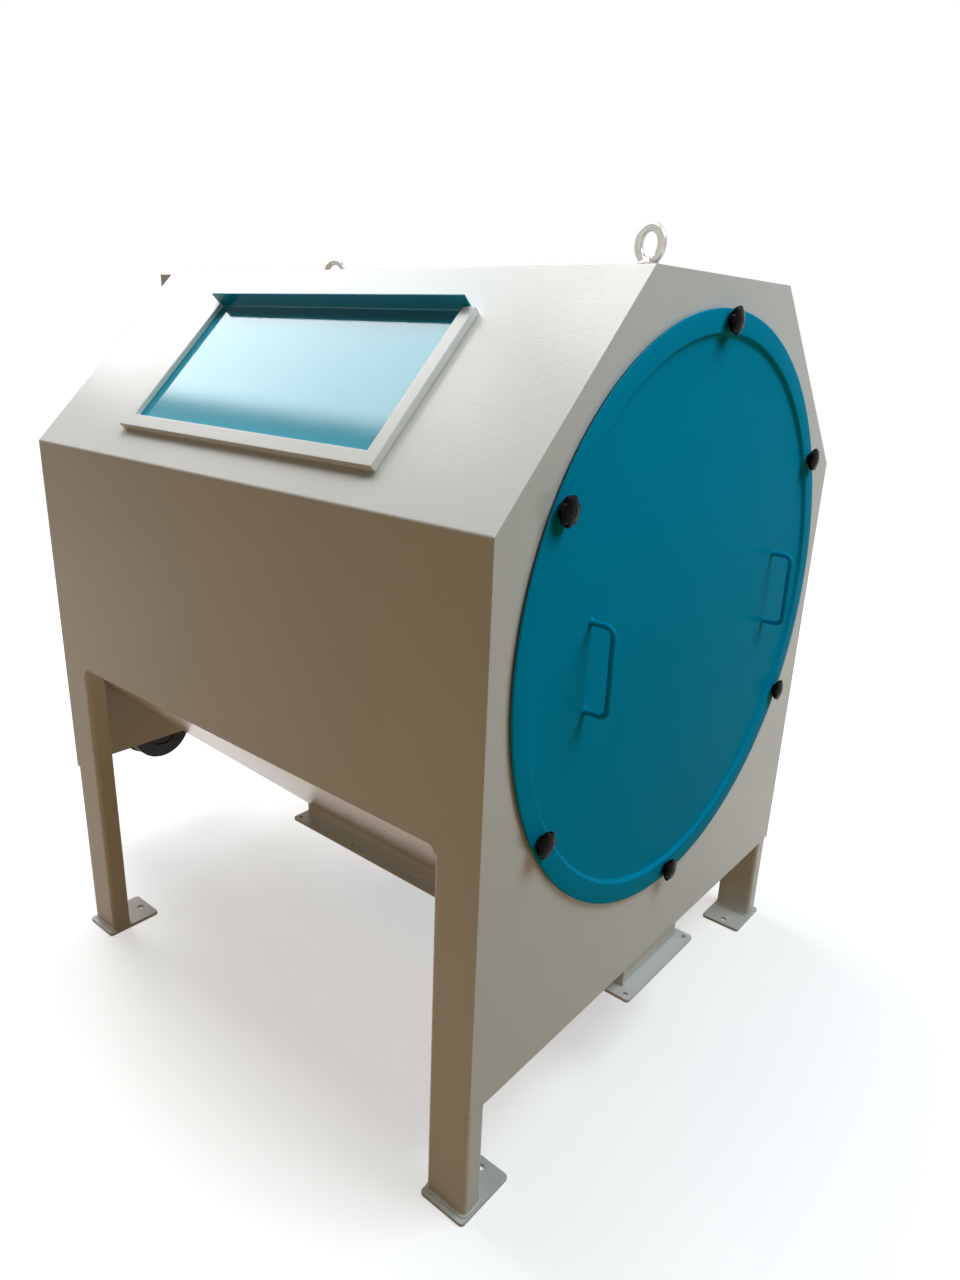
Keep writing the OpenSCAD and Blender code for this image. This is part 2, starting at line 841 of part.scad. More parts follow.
// Star knob with its screw, drawn along its axis with the cover's rim at height 0
knob_past = 6;
knob_tip = seat_gap + gasket_t + cover_t + sheet_t + weld_nut_h + knob_past;
knob_body_r = knob_r - knob_lobe_r + knob_web;
knob_step = 37;
module knob(number) {
    color(black)
        translate([knob_at(number - 1)[0], cover_front_y, drum_z + knob_at(number - 1)[1]])
            rotate([90, 0, 0]) {
                translate([0, 0, -knob_tip])
                    cylinder(h = knob_tip + knob_neck_h, r = knob_screw_r);
                cylinder(h = knob_neck_h, r1 = knob_neck_r, r2 = knob_waist_r);
                intersection() {
                    translate([0, 0, knob_neck_h])
                        linear_extrude(knob_head_h)
                            rotate(number * knob_step) {
                                circle(knob_body_r);
                                for (i = [0:knob_lobes - 1])
                                    rotate(360 / knob_lobes * i)
                                        translate([knob_r - knob_lobe_r, 0])
                                            circle(knob_lobe_r);
                            }
                    translate([0, 0, knob_neck_h + knob_head_h - knob_dome_r])
                        sphere(knob_dome_r);
                    translate([0, 0, knob_neck_h])
                        cylinder(h = knob_head_h, r1 = knob_under_r, r2 = knob_under_r + knob_head_h);
                }
            }
}

module weld_nuts() {
    color(bare_steel)
        for (i = [0:knob_count - 1])
            translate([knob_at(i)[0], inner_front_y, drum_z + knob_at(i)[1]])
                rotate([-90, 0, 0])
                    difference() {
                        cylinder(h = weld_nut_h, d = weld_nut_w / cos(30), $fn = 6);
                        translate([0, 0, -1])
                            cylinder(h = weld_nut_h + 2, r = knob_screw_r + fit_gap);
                    }
}

// Lifting eyes on opposite corners of the top, and the pads that they are screwed into
module lifting_eyes() {
    color(bare_steel)
        for (i = [0, 1])
            translate([eye_places[i][0], eye_places[i][1], casing_h]) {
                translate([0, 0, -eye_shank_l])
                    cylinder(h = eye_shank_l + 1, r = eye_shank_r);
                difference() {
                    union() {
                        cylinder(h = eye_collar_h, r1 = eye_collar_r, r2 = eye_collar_top_r);
                        translate([0, 0, eye_ring_z])
                            rotate([0, 0, i == 0 ? eye_turn_front : eye_turn_rear])
                                rotate([0, 90, 0])
                                    rotate_extrude()
                                        translate([eye_ring_r - eye_bar_r, 0])
                                            circle(eye_bar_r);
                    }
                    translate([0, 0, -eye_ring_r])
                        cylinder(h = eye_ring_r, r = 2 * eye_ring_r);
                }
            }
}

eye_pad_w = 50;
module eye_pads() {
    color(casing_paint)
        for (p = eye_places)
            translate([p[0], p[1], casing_h - sheet_t - eye_pad_t])
                difference() {
                    translate([-eye_pad_w / 2, -eye_pad_w / 2, 0])
                        cube([eye_pad_w, eye_pad_w, eye_pad_t]);
                    translate([0, 0, -1])
                        cylinder(h = eye_pad_t + 2, r = eye_shank_r);
                }
}

// Inlet box behind the rear plate, with a sloping floor and the flange on top
inlet_back_y = rear_y + inlet_d;
inlet_floor_angle = atan2(inlet_rise, inlet_d);
inlet_top_z = casing_h - inlet_flange_t;
function inlet_floor_z(y) = throat_z0 + (y - rear_y) * tan(inlet_floor_angle);

module inlet_box() {
    low = sheet_t / cos(inlet_floor_angle);
    inner_back_y = inlet_back_y - sheet_t;
    color(casing_paint)
        difference() {
            along_x(-inlet_w / 2, inlet_w / 2)
                polygon([[rear_y, throat_z0 - low], [inlet_back_y, inlet_floor_z(inlet_back_y) - low],
                    [inlet_back_y, inlet_top_z], [rear_y, inlet_top_z]]);
            along_x(-inlet_w / 2 + sheet_t, inlet_w / 2 - sheet_t)
                polygon([[inner_rear_y, inlet_floor_z(inner_rear_y)],
                    [inner_back_y, inlet_floor_z(inner_back_y)],
                    [inner_back_y, casing_h], [inner_rear_y, casing_h]]);
        }
}

inlet_hole_in = inlet_flange_w / 2;
inlet_front_w = 20;
inlet_hole_y0 = rear_y + inlet_front_w;
inlet_hole_y1 = inlet_back_y - inlet_hole_in;
module inlet_flange() {
    mouth_x = inlet_w / 2 - inlet_flange_w;
    color(casing_paint)
        translate([0, 0, inlet_top_z])
            linear_extrude(inlet_flange_t)
                difference() {
                    translate([-inlet_w / 2, rear_y])
                        square([inlet_w, inlet_d]);
                    translate([-mouth_x, rear_y + inlet_front_w])
                        square([2 * mouth_x, inlet_d - inlet_front_w - inlet_flange_w]);
                    for (x = [-1, 1], y = [inlet_hole_y0, inlet_hole_y1])
                        translate([x * (inlet_w / 2 - inlet_hole_in), y])
                            circle(inlet_hole_r);
                }
}

// Tray that carries the grain on from the inlet floor into the drum, wider than the opening
tray_side = 5;
tray_lip = 25;
module inlet_tray() {
    end_y = inner_rear_y - tray_in;
    low = sheet_t / cos(inlet_floor_angle);
    tray_half = throat_w / 2 + tray_side;
    color(casing_paint)
        difference() {
            along_x(-tray_half, tray_half)
                polygon([[end_y, inlet_floor_z(end_y) - low],
                    [inner_rear_y, inlet_floor_z(inner_rear_y) - low],
                    [inner_rear_y, inlet_floor_z(inner_rear_y) + tray_lip],
                    [end_y, inlet_floor_z(end_y) + tray_lip]]);
            along_x(-tray_half + sheet_t, tray_half - sheet_t)
                polygon([[end_y - 1, inlet_floor_z(end_y - 1)], [rear_y, inlet_floor_z(rear_y)],
                    [rear_y, casing_h], [end_y - 1, casing_h]]);
        }
}

// Collar on the rear plate that reaches into the drum's end, so that no grain falls past it
module drum_collar() {
    color(casing_paint)
        along_y(inner_rear_y - collar_l, inner_rear_y)
            translate([0, drum_z])
                difference() {
                    circle(collar_r);
                    circle(collar_r - sheet_t);
                }
}

// Drum
drum_y0 = front_y + drum_front_gap;
drum_y1 = rear_y - drum_rear_gap;
spider_y = rear_y - housing_in - bearing_cap_t - hub_gap - hub_l / 2;
frame_r = drum_r - screen_t;
frame_in_r = frame_r - ring_h;
spider_ring_y = spider_y - ring_w / 2;
middle_ring_y = (drum_y0 + spider_ring_y) / 2;
ring_places = [drum_y0, middle_ring_y, spider_ring_y, drum_y1 - ring_w];

module ring_shape(r_in, r_out) {
    difference() {
        circle(r_out);
        circle(r_in);
    }
}

module drum_screen() {
    color(bare_steel)
        along_y(drum_y0, drum_y1)
            translate([0, drum_z])
                ring_shape(frame_r, drum_r);
}

module drum_rings() {
    color(bare_steel)
        for (y = ring_places)
            along_y(y, y + ring_w)
                translate([0, drum_z])
                    ring_shape(frame_in_r, frame_r);
}

module drum_tie_bars() {
    color(bare_steel)
        for (k = [0:len(ring_places) - 2])
            along_y(ring_places[k] + ring_w, ring_places[k + 1])
                translate([0, drum_z])
                    for (i = [0:tie_bars - 1])
                        rotate(360 / tie_bars * (i + 0.5))
                            intersection() {
                                ring_shape(frame_in_r, frame_r);
                                translate([0, -tie_w / 2])
                                    square([drum_r, tie_w]);
                            }
}

// Spiral flights inside the rings and tie bars, which push the coarse overs to the front end. A
// flight is a row of plates: each is welded to a tie bar, and ends midway to the next tie bar
flight_r0 = frame_in_r - flight_h;
flight_spread = 360 * flight_t / flight_lead;
flight_end_gap = 6;
flight_plate_gap = 1;
flight_step = 6;
flight_stop_y = inner_rear_y - collar_l - flight_end_gap;
sector_l = flight_lead / tie_bars;

module flight_plate(i, y0, y1) {
    turn = 360 * (y1 - y0) / flight_lead;
    inner = [for (a = [0, flight_spread]) flight_r0 * [cos(a), sin(a)]];
    outer = [for (a = [flight_spread, 0]) frame_in_r * [cos(a), sin(a)]];
    translate([0, y1, drum_z])
        rotate([90, 0, 0])
            rotate(360 / flights * i + 360 * y1 / flight_lead)
                linear_extrude(y1 - y0, twist = turn, slices = ceil(turn / flight_step), $fn = 4)
                    polygon(concat(inner, outer));
}

module flight_run(i, y0, y1) {
    phase = -flight_lead * i / flights - flight_t / 2;
    first = ceil((y0 - phase) / sector_l + 0.5);
    last = floor((y1 - phase) / sector_l - 0.5);
    cuts = [for (k = [first:1:last]) phase + k * sector_l];
    starts = concat([y0], cuts);
    ends = concat(cuts, [y1]);
    for (k = [0:len(cuts)])
        flight_plate(i, starts[k] + flight_plate_gap / 2, ends[k] - flight_plate_gap / 2);
}

module drum_flights() {
    color(bare_steel)
        for (i = [0:flights - 1]) {
            flight_run(i, drum_y0 + flight_end_gap, spider_y - spoke_t / 2);
            flight_run(i, spider_y + spoke_t / 2, flight_stop_y);
        }
}

module drum_spider() {
    color(machine_grey)
        along_y(spider_y - spoke_t / 2, spider_y + spoke_t / 2)
            translate([0, drum_z])
                for (i = [0:spokes - 1])
                    rotate(360 / spokes * i)
                        intersection() {
                            ring_shape(hub_r, frame_in_r);
                            translate([0, -spoke_w / 2])
                                square([drum_r, spoke_w]);
                        }
}

module drum_hub() {
    color(machine_grey)
        along_y(spider_y - hub_l / 2, spider_y + hub_l / 2)
            translate([0, drum_z])
                ring_shape(shaft_r, hub_r);
}

pulley_y0 = rear_y + pulley_y;
pulley_y1 = pulley_y0 + pulley_w;
shaft_nose = 6;
module drum_shaft() {
    color(bare_steel)
        round_y(0, drum_z, spider_y - hub_l / 2 - shaft_nose,
            pulley_y1 + shaft_nose / 2 - spider_y + hub_l / 2 + shaft_nose, shaft_r);
}

// Bearings in a long housing that reaches into the drum
housing_y0 = rear_y - housing_in;
housing_y1 = rear_y + 2 * housing_flange_t;
bearing_inset = 8;
bearing_places = [housing_y0 + bearing_inset, housing_y1 - bearing_inset - bearing_w];
race_r = shaft_r + bearing_ring;
outer_race_r = bearing_r - bearing_ring;

balls = 10;
ball_r = (outer_race_r - race_r) / 2;
ball_circle_r = race_r + ball_r - fit_gap;

// Inner rings with the balls, which clear the outer rings by the fit gap
module inner_rings_and_balls() {
    color(bare_steel)
        for (y = bearing_places) {
            along_y(y, y + bearing_w)
                translate([0, drum_z])
                    ring_shape(shaft_r, race_r);
            for (i = [0:balls - 1])
                translate([0, y + bearing_w / 2, drum_z])
                    rotate([0, 360 / balls * i, 0])
                        translate([ball_circle_r, 0, 0])
                            sphere(ball_r);
        }
}

module bearing_outer_rings() {
    color(bare_steel)
        for (y = bearing_places)
            along_y(y, y + bearing_w)
                translate([0, drum_z])
                    ring_shape(outer_race_r, bearing_r);
}

module bearing_housing() {
    length = housing_y1 - housing_y0;
    seat = bearing_inset + bearing_w;
    color(machine_grey)
        difference() {
            turned_y(0, drum_z, housing_y0)
                difference() {
                    union() {
                        square([housing_r, length]);
                        translate([0, length - housing_flange_t])
                            square([housing_flange_r, housing_flange_t]);
                    }
                    square([outer_race_r, length]);
                    square([bearing_r, seat]);
                    translate([0, length - seat])
                        square([bearing_r, seat]);
                }
            along_y(rear_y, housing_y1 + 1)
                translate([0, drum_z])
                    for (i = [0:housing_bolts - 1])
                        translate(bolt_at(i))
                            circle(housing_bolt_r + screw_hole_gap / 2);
        }
}

module bearing_caps() {
    color(machine_grey)
        for (y = [housing_y0 - bearing_cap_t, housing_y1])
            along_y(y, y + bearing_cap_t)
                translate([0, drum_z])
                    ring_shape(shaft_r + screw_hole_gap, housing_r);
}

// Drive frame behind the rear plate: a bearing plate welded between two vertical rails, which
// are open towards the rear plate
bearing_plate_half = rail_x - rail_w / 2;
rail_low_gap = 10;
rail_low_z = rear_low_z + rail_low_gap;
rail_top_z = drum_z + rail_up;
module drive_frame() {
    color(casing_paint) {
        along_y(rear_y, rear_y + housing_flange_t)
            difference() {
                translate([-bearing_plate_half, drum_z - bearing_plate_h / 2])
                    square([2 * bearing_plate_half, bearing_plate_h]);
                housing_holes();
            }
        mirrored_x()
            translate([0, 0, rail_low_z])
                linear_extrude(rail_top_z - rail_low_z)
                    difference() {
                        translate([bearing_plate_half, rear_y])
                            square([rail_w, rail_d]);
                        translate([bearing_plate_half + rail_t, rear_y - 1])
                            square([rail_w - 2 * rail_t, rail_d - rail_t + 1]);
                    }
    }
}

bolt_head_h = 8;
bolt_nut_h = 10;
bolt_end = 3;
bolt_head_w = 3 * housing_bolt_r;
module housing_bolts() {
    color(bare_steel)
        for (i = [0:housing_bolts - 1])
            translate([bolt_at(i)[0], 0, drum_z + bolt_at(i)[1]])
                rotate([-90, 0, 0]) {
                    translate([0, 0, inner_rear_y - bolt_nut_h - bolt_end])
                        cylinder(h = housing_y1 - inner_rear_y + bolt_nut_h + 2 * bolt_end,
                            r = housing_bolt_r);
                    translate([0, 0, housing_y1])
                        cylinder(h = bolt_head_h, d = bolt_head_w / cos(30), $fn = 6);
                    translate([0, 0, inner_rear_y - bolt_nut_h])
                        cylinder(h = bolt_nut_h, d = bolt_head_w / cos(30), $fn = 6);
                }
}

// Belt drive: the two circles, the direction from the drum to the motor and the tangent points
motor_z = drum_z - motor_down;
motor_at = [motor_x, motor_z];
drum_at = [0, drum_z];
shaft_distance = norm(motor_at - drum_at);
drive_angle = atan2(motor_z - drum_z, motor_x);
function lean(r1, r2) = acos((r1 - r2) / shaft_distance);
groove_slant = 19;
groove_spare = 3;
belt_middle = (pulley_y0 + pulley_y1) / 2;
function groove_half(down) = belt_w / 2 - down * tan(groove_slant) + belt_gap / cos(groove_slant);

// Profile of a pulley's rim with its grooves, as radius and distance from the front face
module grooved(r, r_in) {
    deep = belt_h + groove_spare;
    difference() {
        translate([r_in, 0])
            square([r - r_in, pulley_w]);
        for (i = [0:belt_count - 1])
            translate([r, pulley_w / 2 + (i - (belt_count - 1) / 2) * belt_pitch])
                polygon([[-deep, -groove_half(deep)], [1, -groove_half(-1)],
                    [1, groove_half(-1)], [-deep, groove_half(deep)]]);
    }
}

rim_wall = 12;
web_t = 12;
driven_hub_r = 55;
web_holes = 6;
web_hole_r = 40;
module driven_pulley() {
    rim_in = big_pulley_r - belt_h - groove_spare - rim_wall;
    color(machine_grey)
        difference() {
            turned_y(0, drum_z, pulley_y0) {
                grooved(big_pulley_r, rim_in);
                translate([driven_hub_r - 1, (pulley_w - web_t) / 2])
                    square([rim_in - driven_hub_r + 2, web_t]);
                translate([shaft_r, 0])
                    square([driven_hub_r - shaft_r, pulley_w]);
            }
            for (i = [0:web_holes - 1])
                translate([0, 0, drum_z])
                    rotate([0, 360 / web_holes * i, 0])
                        round_y((rim_in + driven_hub_r) / 2, 0, pulley_y0, pulley_w, web_hole_r);
        }
}

boss_r = 46;
boss_step = 4;
module drive_pulley() {
    color(black)
        turned_y(motor_x, motor_z, pulley_y0)
            difference() {
                grooved(small_pulley_r, drive_shaft_r);
                translate([boss_r - boss_step, -1])
                    square([boss_step, boss_step + 1]);
            }
}

gearbox_y0 = rear_y + motor_plate_y + motor_plate_t;
gearbox_y1 = gearbox_y0 + gearbox_l;
module output_shaft() {
    color(bare_steel)
        round_y(motor_x, motor_z, pulley_y0 - shaft_nose, gearbox_y1 + 2 * shaft_nose - pulley_y0,
            drive_shaft_r);
}

// Outline round both pulleys at the distance d outside them, as points of two arcs
arc_steps = 40;
function arc(centre, r, from, sweep) = [for (i = [0:arc_steps])
    centre + r * [cos(from + sweep * i / arc_steps), sin(from + sweep * i / arc_steps)]];
function round_both(d) =
    let (a = lean(big_pulley_r, small_pulley_r))
    concat(arc(drum_at, big_pulley_r + d, drive_angle + a, 360 - 2 * a),
        arc(motor_at, small_pulley_r + d, drive_angle - a, 2 * a));

// A belt is its section carried round the pulleys, with the narrow side inwards
belt_low_half = belt_w / 2 - belt_h * tan(groove_slant);
module v_belt() {
    top = round_both(0);
    low = round_both(-belt_h);
    n = len(top);
    points = concat(
        [for (p = top) [p[0], -belt_w / 2, p[1]]],
        [for (p = top) [p[0], belt_w / 2, p[1]]],
        [for (p = low) [p[0], belt_low_half, p[1]]],
        [for (p = low) [p[0], -belt_low_half, p[1]]]);
    faces = [for (side = [0:3], i = [0:n - 1])
        let (next = (i + 1) % n, other = (side + 1) % 4)
        [side * n + i, side * n + next, other * n + next, other * n + i]];
    polyhedron(points, faces);
}

module v_belts() {
    color(black)
        for (i = [0:belt_count - 1])
            translate([0, belt_middle + (i - (belt_count - 1) / 2) * belt_pitch, 0])
                v_belt();
}

// Belt guard: side wall and back, open towards the rear plate and at the bottom
guard_y0 = rear_y + rail_d;
guard_plate_gap = 5;
guard_low_z = motor_z + guard_up;
guard_y1 = rear_y + motor_plate_y - guard_plate_gap;
module belt_guard() {
    color(casing_paint)
        difference() {
            union() {
                along_y(guard_y0, guard_y1)
                    difference() {
                        polygon(round_both(guard_gap + guard_t));
                        polygon(round_both(guard_gap));
                    }
                along_y(guard_y1 - guard_t, guard_y1)
                    polygon(round_both(guard_gap + guard_t));
            }
            translate([-casing_w, guard_y0 - 1, 0])
                cube([2 * casing_w, casing_l, guard_low_z]);
        }
}

// Motor plate, rounded under the gearbox, with its three standoffs to the rear plate. Their
// places are measured from the pulley's axis along X and Z
standoff_places = [[-120, 36], [-120, 176], [220, 28]];
plate_margin = 26;
plate_top = 203;
plate_round_r = gearbox_r + 14;
plate_hole_r = drive_shaft_r + 12;
module motor_plate() {
    color(machine_grey) {
        along_y(gearbox_y0 - motor_plate_t, gearbox_y0)
            translate(motor_at)
                difference() {
                    union() {
                        circle(plate_round_r);
                        translate([standoff_places[0][0] - plate_margin, 0])
                            square([standoff_places[2][0] - standoff_places[0][0] + 2 * plate_margin,
                                plate_top]);
                    }
                    circle(plate_hole_r);
                }
        for (p = standoff_places)
            round_y(motor_x + p[0], motor_z + p[1], rear_y, motor_plate_y, standoff_r);
    }
}

// Worm gearbox: a round housing about the output shaft under a block about the motor's axis
gearbox_top = 46;
gearbox_step = 10;
motor_flange_t = 12;
motor_flange_r = motor_r - 2;
motor_axis_y = gearbox_y0 + gearbox_l / 2;
module gearbox() {
    color(machine_grey)
        difference() {
            union() {
                round_y(motor_x, motor_z, gearbox_y0, gearbox_l, gearbox_r);
                translate([motor_x - gearbox_r, gearbox_y0 + gearbox_step, motor_z])
                    cube([2 * gearbox_r, gearbox_l - 2 * gearbox_step, worm_rise + gearbox_top]);
                translate([motor_x + gearbox_r, motor_axis_y, motor_z + worm_rise])
                    rotate([0, 90, 0])
                        cylinder(h = motor_flange_t, r = motor_flange_r);
            }
            round_y(motor_x, motor_z, gearbox_y0 - 1, gearbox_l + 2, drive_shaft_r + fit_gap);
        }
}

// Motor with cooling fins, fan cowl and terminal box
fin_step = 12;
fin_h = 5;
terminal_x = 58;
terminal_sunk = 14;
motor_x0 = motor_x + gearbox_r + motor_flange_t;
module motor() {
    color(machine_grey)
        translate([motor_x0, motor_axis_y, motor_z + worm_rise]) {
            rotate([0, 90, 0]) {
                cylinder(h = motor_l, r = motor_r - fin_h);
                for (x = [0:fin_step:motor_l])
                    translate([0, 0, min(x, motor_l - fin_h)])
                        cylinder(h = fin_h, r = motor_r);
                translate([0, 0, motor_l])
                    cylinder(h = cowl_l, r1 = motor_r, r2 = motor_r - fin_h);
            }
            translate([terminal_x, -terminal_w / 2, motor_r - fin_h - terminal_sunk])
                cube([terminal_l, terminal_w, terminal_h + fin_h + terminal_sunk]);
        }
}

// Cleaning brush on the right upper slope, square to it, with its bristles at the screen
brush_angle = 90 - slope_angle;
slope_distance = half_w * sin(slope_angle) + (shoulder_z - drum_z) * cos(slope_angle) - sheet_t;
bristle_r0 = drum_r + brush_gap;
board_r0 = bristle_r0 + bristle_h;
board_r1 = board_r0 + brush_back_h;
bracket_w = 40;
bracket_l = 60;
brush_y0 = drum_y0 + brush_end;
brush_l = drum_y1 - drum_y0 - 2 * brush_end;
module at_brush() {
    translate([0, 0, drum_z])
        rotate([0, -brush_angle, 0])
            children();
}

module brush_board() {
    color(machine_grey)
        at_brush() {
            translate([board_r0, brush_y0, -brush_back_w / 2])
                cube([brush_back_h, brush_l, brush_back_w]);
            for (y = [brush_y0 + bracket_l, brush_y0 + brush_l - 2 * bracket_l])
                translate([board_r1, y, -bracket_w / 2])
                    cube([slope_distance - board_r1, bracket_l, bracket_w]);
        }
}

module brush_bristles() {
    color(black)
        at_brush()
            translate([bristle_r0, brush_y0, -bristle_w / 2])
                cube([bristle_h, brush_l, bristle_w]);
}

front_plate();
rear_plate();
left_panel();
right_panel();
top_panel();
at_corner(0, 0) leg();  // front_left_leg
at_corner(1, 0) leg();  // front_right_leg
at_corner(0, 1) leg();  // rear_left_leg
at_corner(1, 1) leg();  // rear_right_leg
at_corner(0, 0) foot();  // front_left_foot
at_corner(1, 0) foot();  // front_right_foot
at_corner(0, 1) foot();  // rear_left_foot
at_corner(1, 1) foot();  // rear_right_foot
left_hopper_plate();
right_hopper_plate();
rear_hopper_plate();
neck_front_wall();
outlet_flange();
overs_divider();
hatch_frame();
hatch_panel();
cover_disc();
cover_gasket();
cover_handles();
knob(1);  // knob_1
knob(2);  // knob_2
knob(3);  // knob_3
knob(4);  // knob_4
knob(5);  // knob_5
knob(6);  // knob_6
weld_nuts();
lifting_eyes();
eye_pads();
inlet_box();
inlet_flange();
inlet_tray();
drum_collar();
drum_screen();
drum_rings();
drum_tie_bars();
drum_flights();
drum_spider();
drum_hub();
drum_shaft();
driven_pulley();
inner_rings_and_balls();
bearing_outer_rings();
bearing_housing();
bearing_caps();
drive_frame();
housing_bolts();
drive_pulley();
output_shaft();
v_belts();
motor_plate();
gearbox();
motor();
belt_guard();
brush_board();
brush_bristles();
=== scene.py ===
import json
import math

import bmesh
import bpy
from mathutils import Matrix, Vector


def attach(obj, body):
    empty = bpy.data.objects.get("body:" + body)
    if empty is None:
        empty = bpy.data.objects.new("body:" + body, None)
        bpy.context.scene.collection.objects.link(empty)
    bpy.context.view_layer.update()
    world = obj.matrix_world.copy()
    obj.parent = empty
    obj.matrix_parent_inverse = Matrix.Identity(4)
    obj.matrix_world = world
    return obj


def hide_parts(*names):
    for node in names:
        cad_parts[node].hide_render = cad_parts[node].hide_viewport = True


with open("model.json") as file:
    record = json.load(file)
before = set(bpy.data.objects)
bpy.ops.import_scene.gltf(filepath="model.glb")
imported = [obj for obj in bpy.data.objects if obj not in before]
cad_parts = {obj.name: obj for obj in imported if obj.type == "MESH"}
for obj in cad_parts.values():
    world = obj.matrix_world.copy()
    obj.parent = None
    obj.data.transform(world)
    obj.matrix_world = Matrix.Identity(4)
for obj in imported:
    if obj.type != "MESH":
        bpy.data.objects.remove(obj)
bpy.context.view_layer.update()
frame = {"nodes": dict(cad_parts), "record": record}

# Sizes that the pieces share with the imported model, in metres
FRONT_Y = -0.625
INNER_FRONT_Y = -0.622
FOOT_TOP_Z = 0.008
PANEL_LOW_Z = 0.696
FRONT_PLATE_LOW_Z = 0.235
REAR_PLATE_LOW_Z = 0.436
LEG_CORNER_R = 0.009
HALF_W = 0.6
TOP_Z = 1.56
DRUM_Z = 0.96
COVER_FRONT_Y = -0.6322
COVER_BACK_Y = -0.6292
DISH_Y = -0.6252
COVER_R = 0.55
DISH_R = 0.511
KNOB_CIRCLE_R = 0.531
KNOB_PLACES = [(KNOB_CIRCLE_R * math.cos(math.radians(a)), KNOB_CIRCLE_R * math.sin(math.radians(a)))
               for a in range(30, 390, 60)]
FLOOR_BOUNCE = (0.5, 0.29, 0.09, 1)
LAMP_TARGET = (-0.35, 0, 1.25)
EYES = [(-0.2, -0.582, -15), (0.2, 0.582, 20)]


def camera_like_the_photograph():
    turn, rise, roll = (math.radians(a) for a in (-50.7795, 18.8776, 2.2593))
    back = Vector((math.sin(turn) * math.cos(rise), -math.cos(turn) * math.cos(rise), math.sin(rise)))
    level = Vector((0, 0, 1)).cross(back).normalized()
    up = back.cross(level)
    right = math.cos(roll) * level + math.sin(roll) * up
    top = math.cos(roll) * up - math.sin(roll) * level
    data = bpy.data.cameras.new("camera")
    data.lens = 25.18
    data.sensor_width = 36
    camera = bpy.data.objects.new("camera", data)
    camera.matrix_world = Matrix((right, top, back)).transposed().to_4x4()
    camera.matrix_world.translation = (-1.4898, -1.3336, 1.4539)
    bpy.context.scene.collection.objects.link(camera)
    bpy.context.scene.camera = camera


camera_like_the_photograph()
bpy.context.scene.view_settings.view_transform = "Standard"


class Wire:
    """One output of a node. Arithmetic on it adds Math nodes."""

    def __init__(self, tree, socket):
        self.tree, self.socket = tree, socket

    def math(self, operation, *values):
        return self.tree.node("ShaderNodeMath", {"operation": operation}, dict(enumerate(values)))

    def __add__(self, other):
        return self.math("ADD", self, other)

    def __radd__(self, other):
        return self.math("ADD", other, self)

    def __sub__(self, other):
        return self.math("SUBTRACT", self, other)

    def __rsub__(self, other):
        return self.math("SUBTRACT", other, self)

    def __mul__(self, other):
        return self.math("MULTIPLY", self, other)

    def __rmul__(self, other):
        return self.math("MULTIPLY", other, self)

    def __truediv__(self, other):
        return self.math("DIVIDE", self, other)

    def __mod__(self, other):
        return self.math("FLOORED_MODULO", self, other)

    def above(self, edge, soft):
        """0 below the edge and 1 above it, with a soft step."""
        settings = {"interpolation_type": "SMOOTHSTEP"}
        return self.tree.node("ShaderNodeMapRange", settings, {0: self, 1: edge - soft, 2: edge + soft})


class NodeTree:
    """Adds nodes to a tree: the settings first, then the values or wires of the sockets."""

    def __init__(self, tree):
        self.tree = tree

    def node(self, kind, settings=None, inputs=None, out=0):
        made = self.tree.nodes.new(kind)
        for name, value in (settings or {}).items():
            setattr(made, name, value)
        for key, value in (inputs or {}).items():
            self.join(value, made.inputs[key])
        return None if out is None else Wire(self, made.outputs[out])

    def join(self, value, socket):
        if isinstance(value, Wire):
            self.tree.links.new(value.socket, socket)
        else:
            socket.default_value = value


class Finish(NodeTree):
    """A procedural material on Object coordinates."""

    def __init__(self, name, color, roughness, **constants):
        self.material = bpy.data.materials.new(name)
        self.material.use_nodes = True
        super().__init__(self.material.node_tree)
        self.shader = self.tree.nodes["Principled BSDF"]
        self.color = (*color, 1)
        self.roughness = roughness
        self.place = self.node("ShaderNodeTexCoord", out="Object")
        self.set(Base_Color=self.color, Roughness=roughness, **constants)

    def set(self, **sockets):
        for name, value in sockets.items():
            self.join(value, self.shader.inputs[name.replace("_", " ")])

    def noise(self, scale, detail=2, stretch=(1, 1, 1), distortion=0):
        place = self.node("ShaderNodeMapping", None, {"Vector": self.place, "Scale": stretch})
        return self.node("ShaderNodeTexNoise", None,
                         {"Vector": place, "Scale": scale, "Detail": detail, "Distortion": distortion})

    def mix(self, share, a, b):
        return self.node("ShaderNodeMix", {"data_type": "RGBA"}, {0: share, 6: a, 7: b}, out=2)

    def height(self):
        return self.node("ShaderNodeSeparateXYZ", None, {0: self.place}, out="Z")

    def bump(self, height, distance):
        self.set(Normal=self.node("ShaderNodeBump", None,
                                  {"Height": height, "Distance": distance, "Strength": 1}))


def powder_coat(name, color, gloss=0.2, peel=0.0002, grain=230, **constants):
    """Glossy powder coat with orange peel, faint cloudiness and a little grime near the floor."""
    finish = Finish(name, color, gloss, **constants)
    cloud = finish.noise(2.3, 4)
    scuff = finish.noise(9, 6, distortion=0.6).above(0.66, 0.05)
    darker = tuple(0.93 * c for c in color) + (1,)
    shade = finish.mix(cloud.above(0.55, 0.25), finish.color, darker)
    low = 1 - finish.height().above(0.005, 0.012)
    dirt = low * finish.noise(38, 5).above(0.56, 0.1) * 0.25
    shade = finish.mix(dirt, shade, (0.42, 0.36, 0.27, 1))
    finish.set(Base_Color=shade, Roughness=gloss - 0.02 + cloud * 0.04 + scuff * 0.06 + dirt * 0.4)
    finish.bump(finish.noise(grain, 2), peel)
    return finish.material


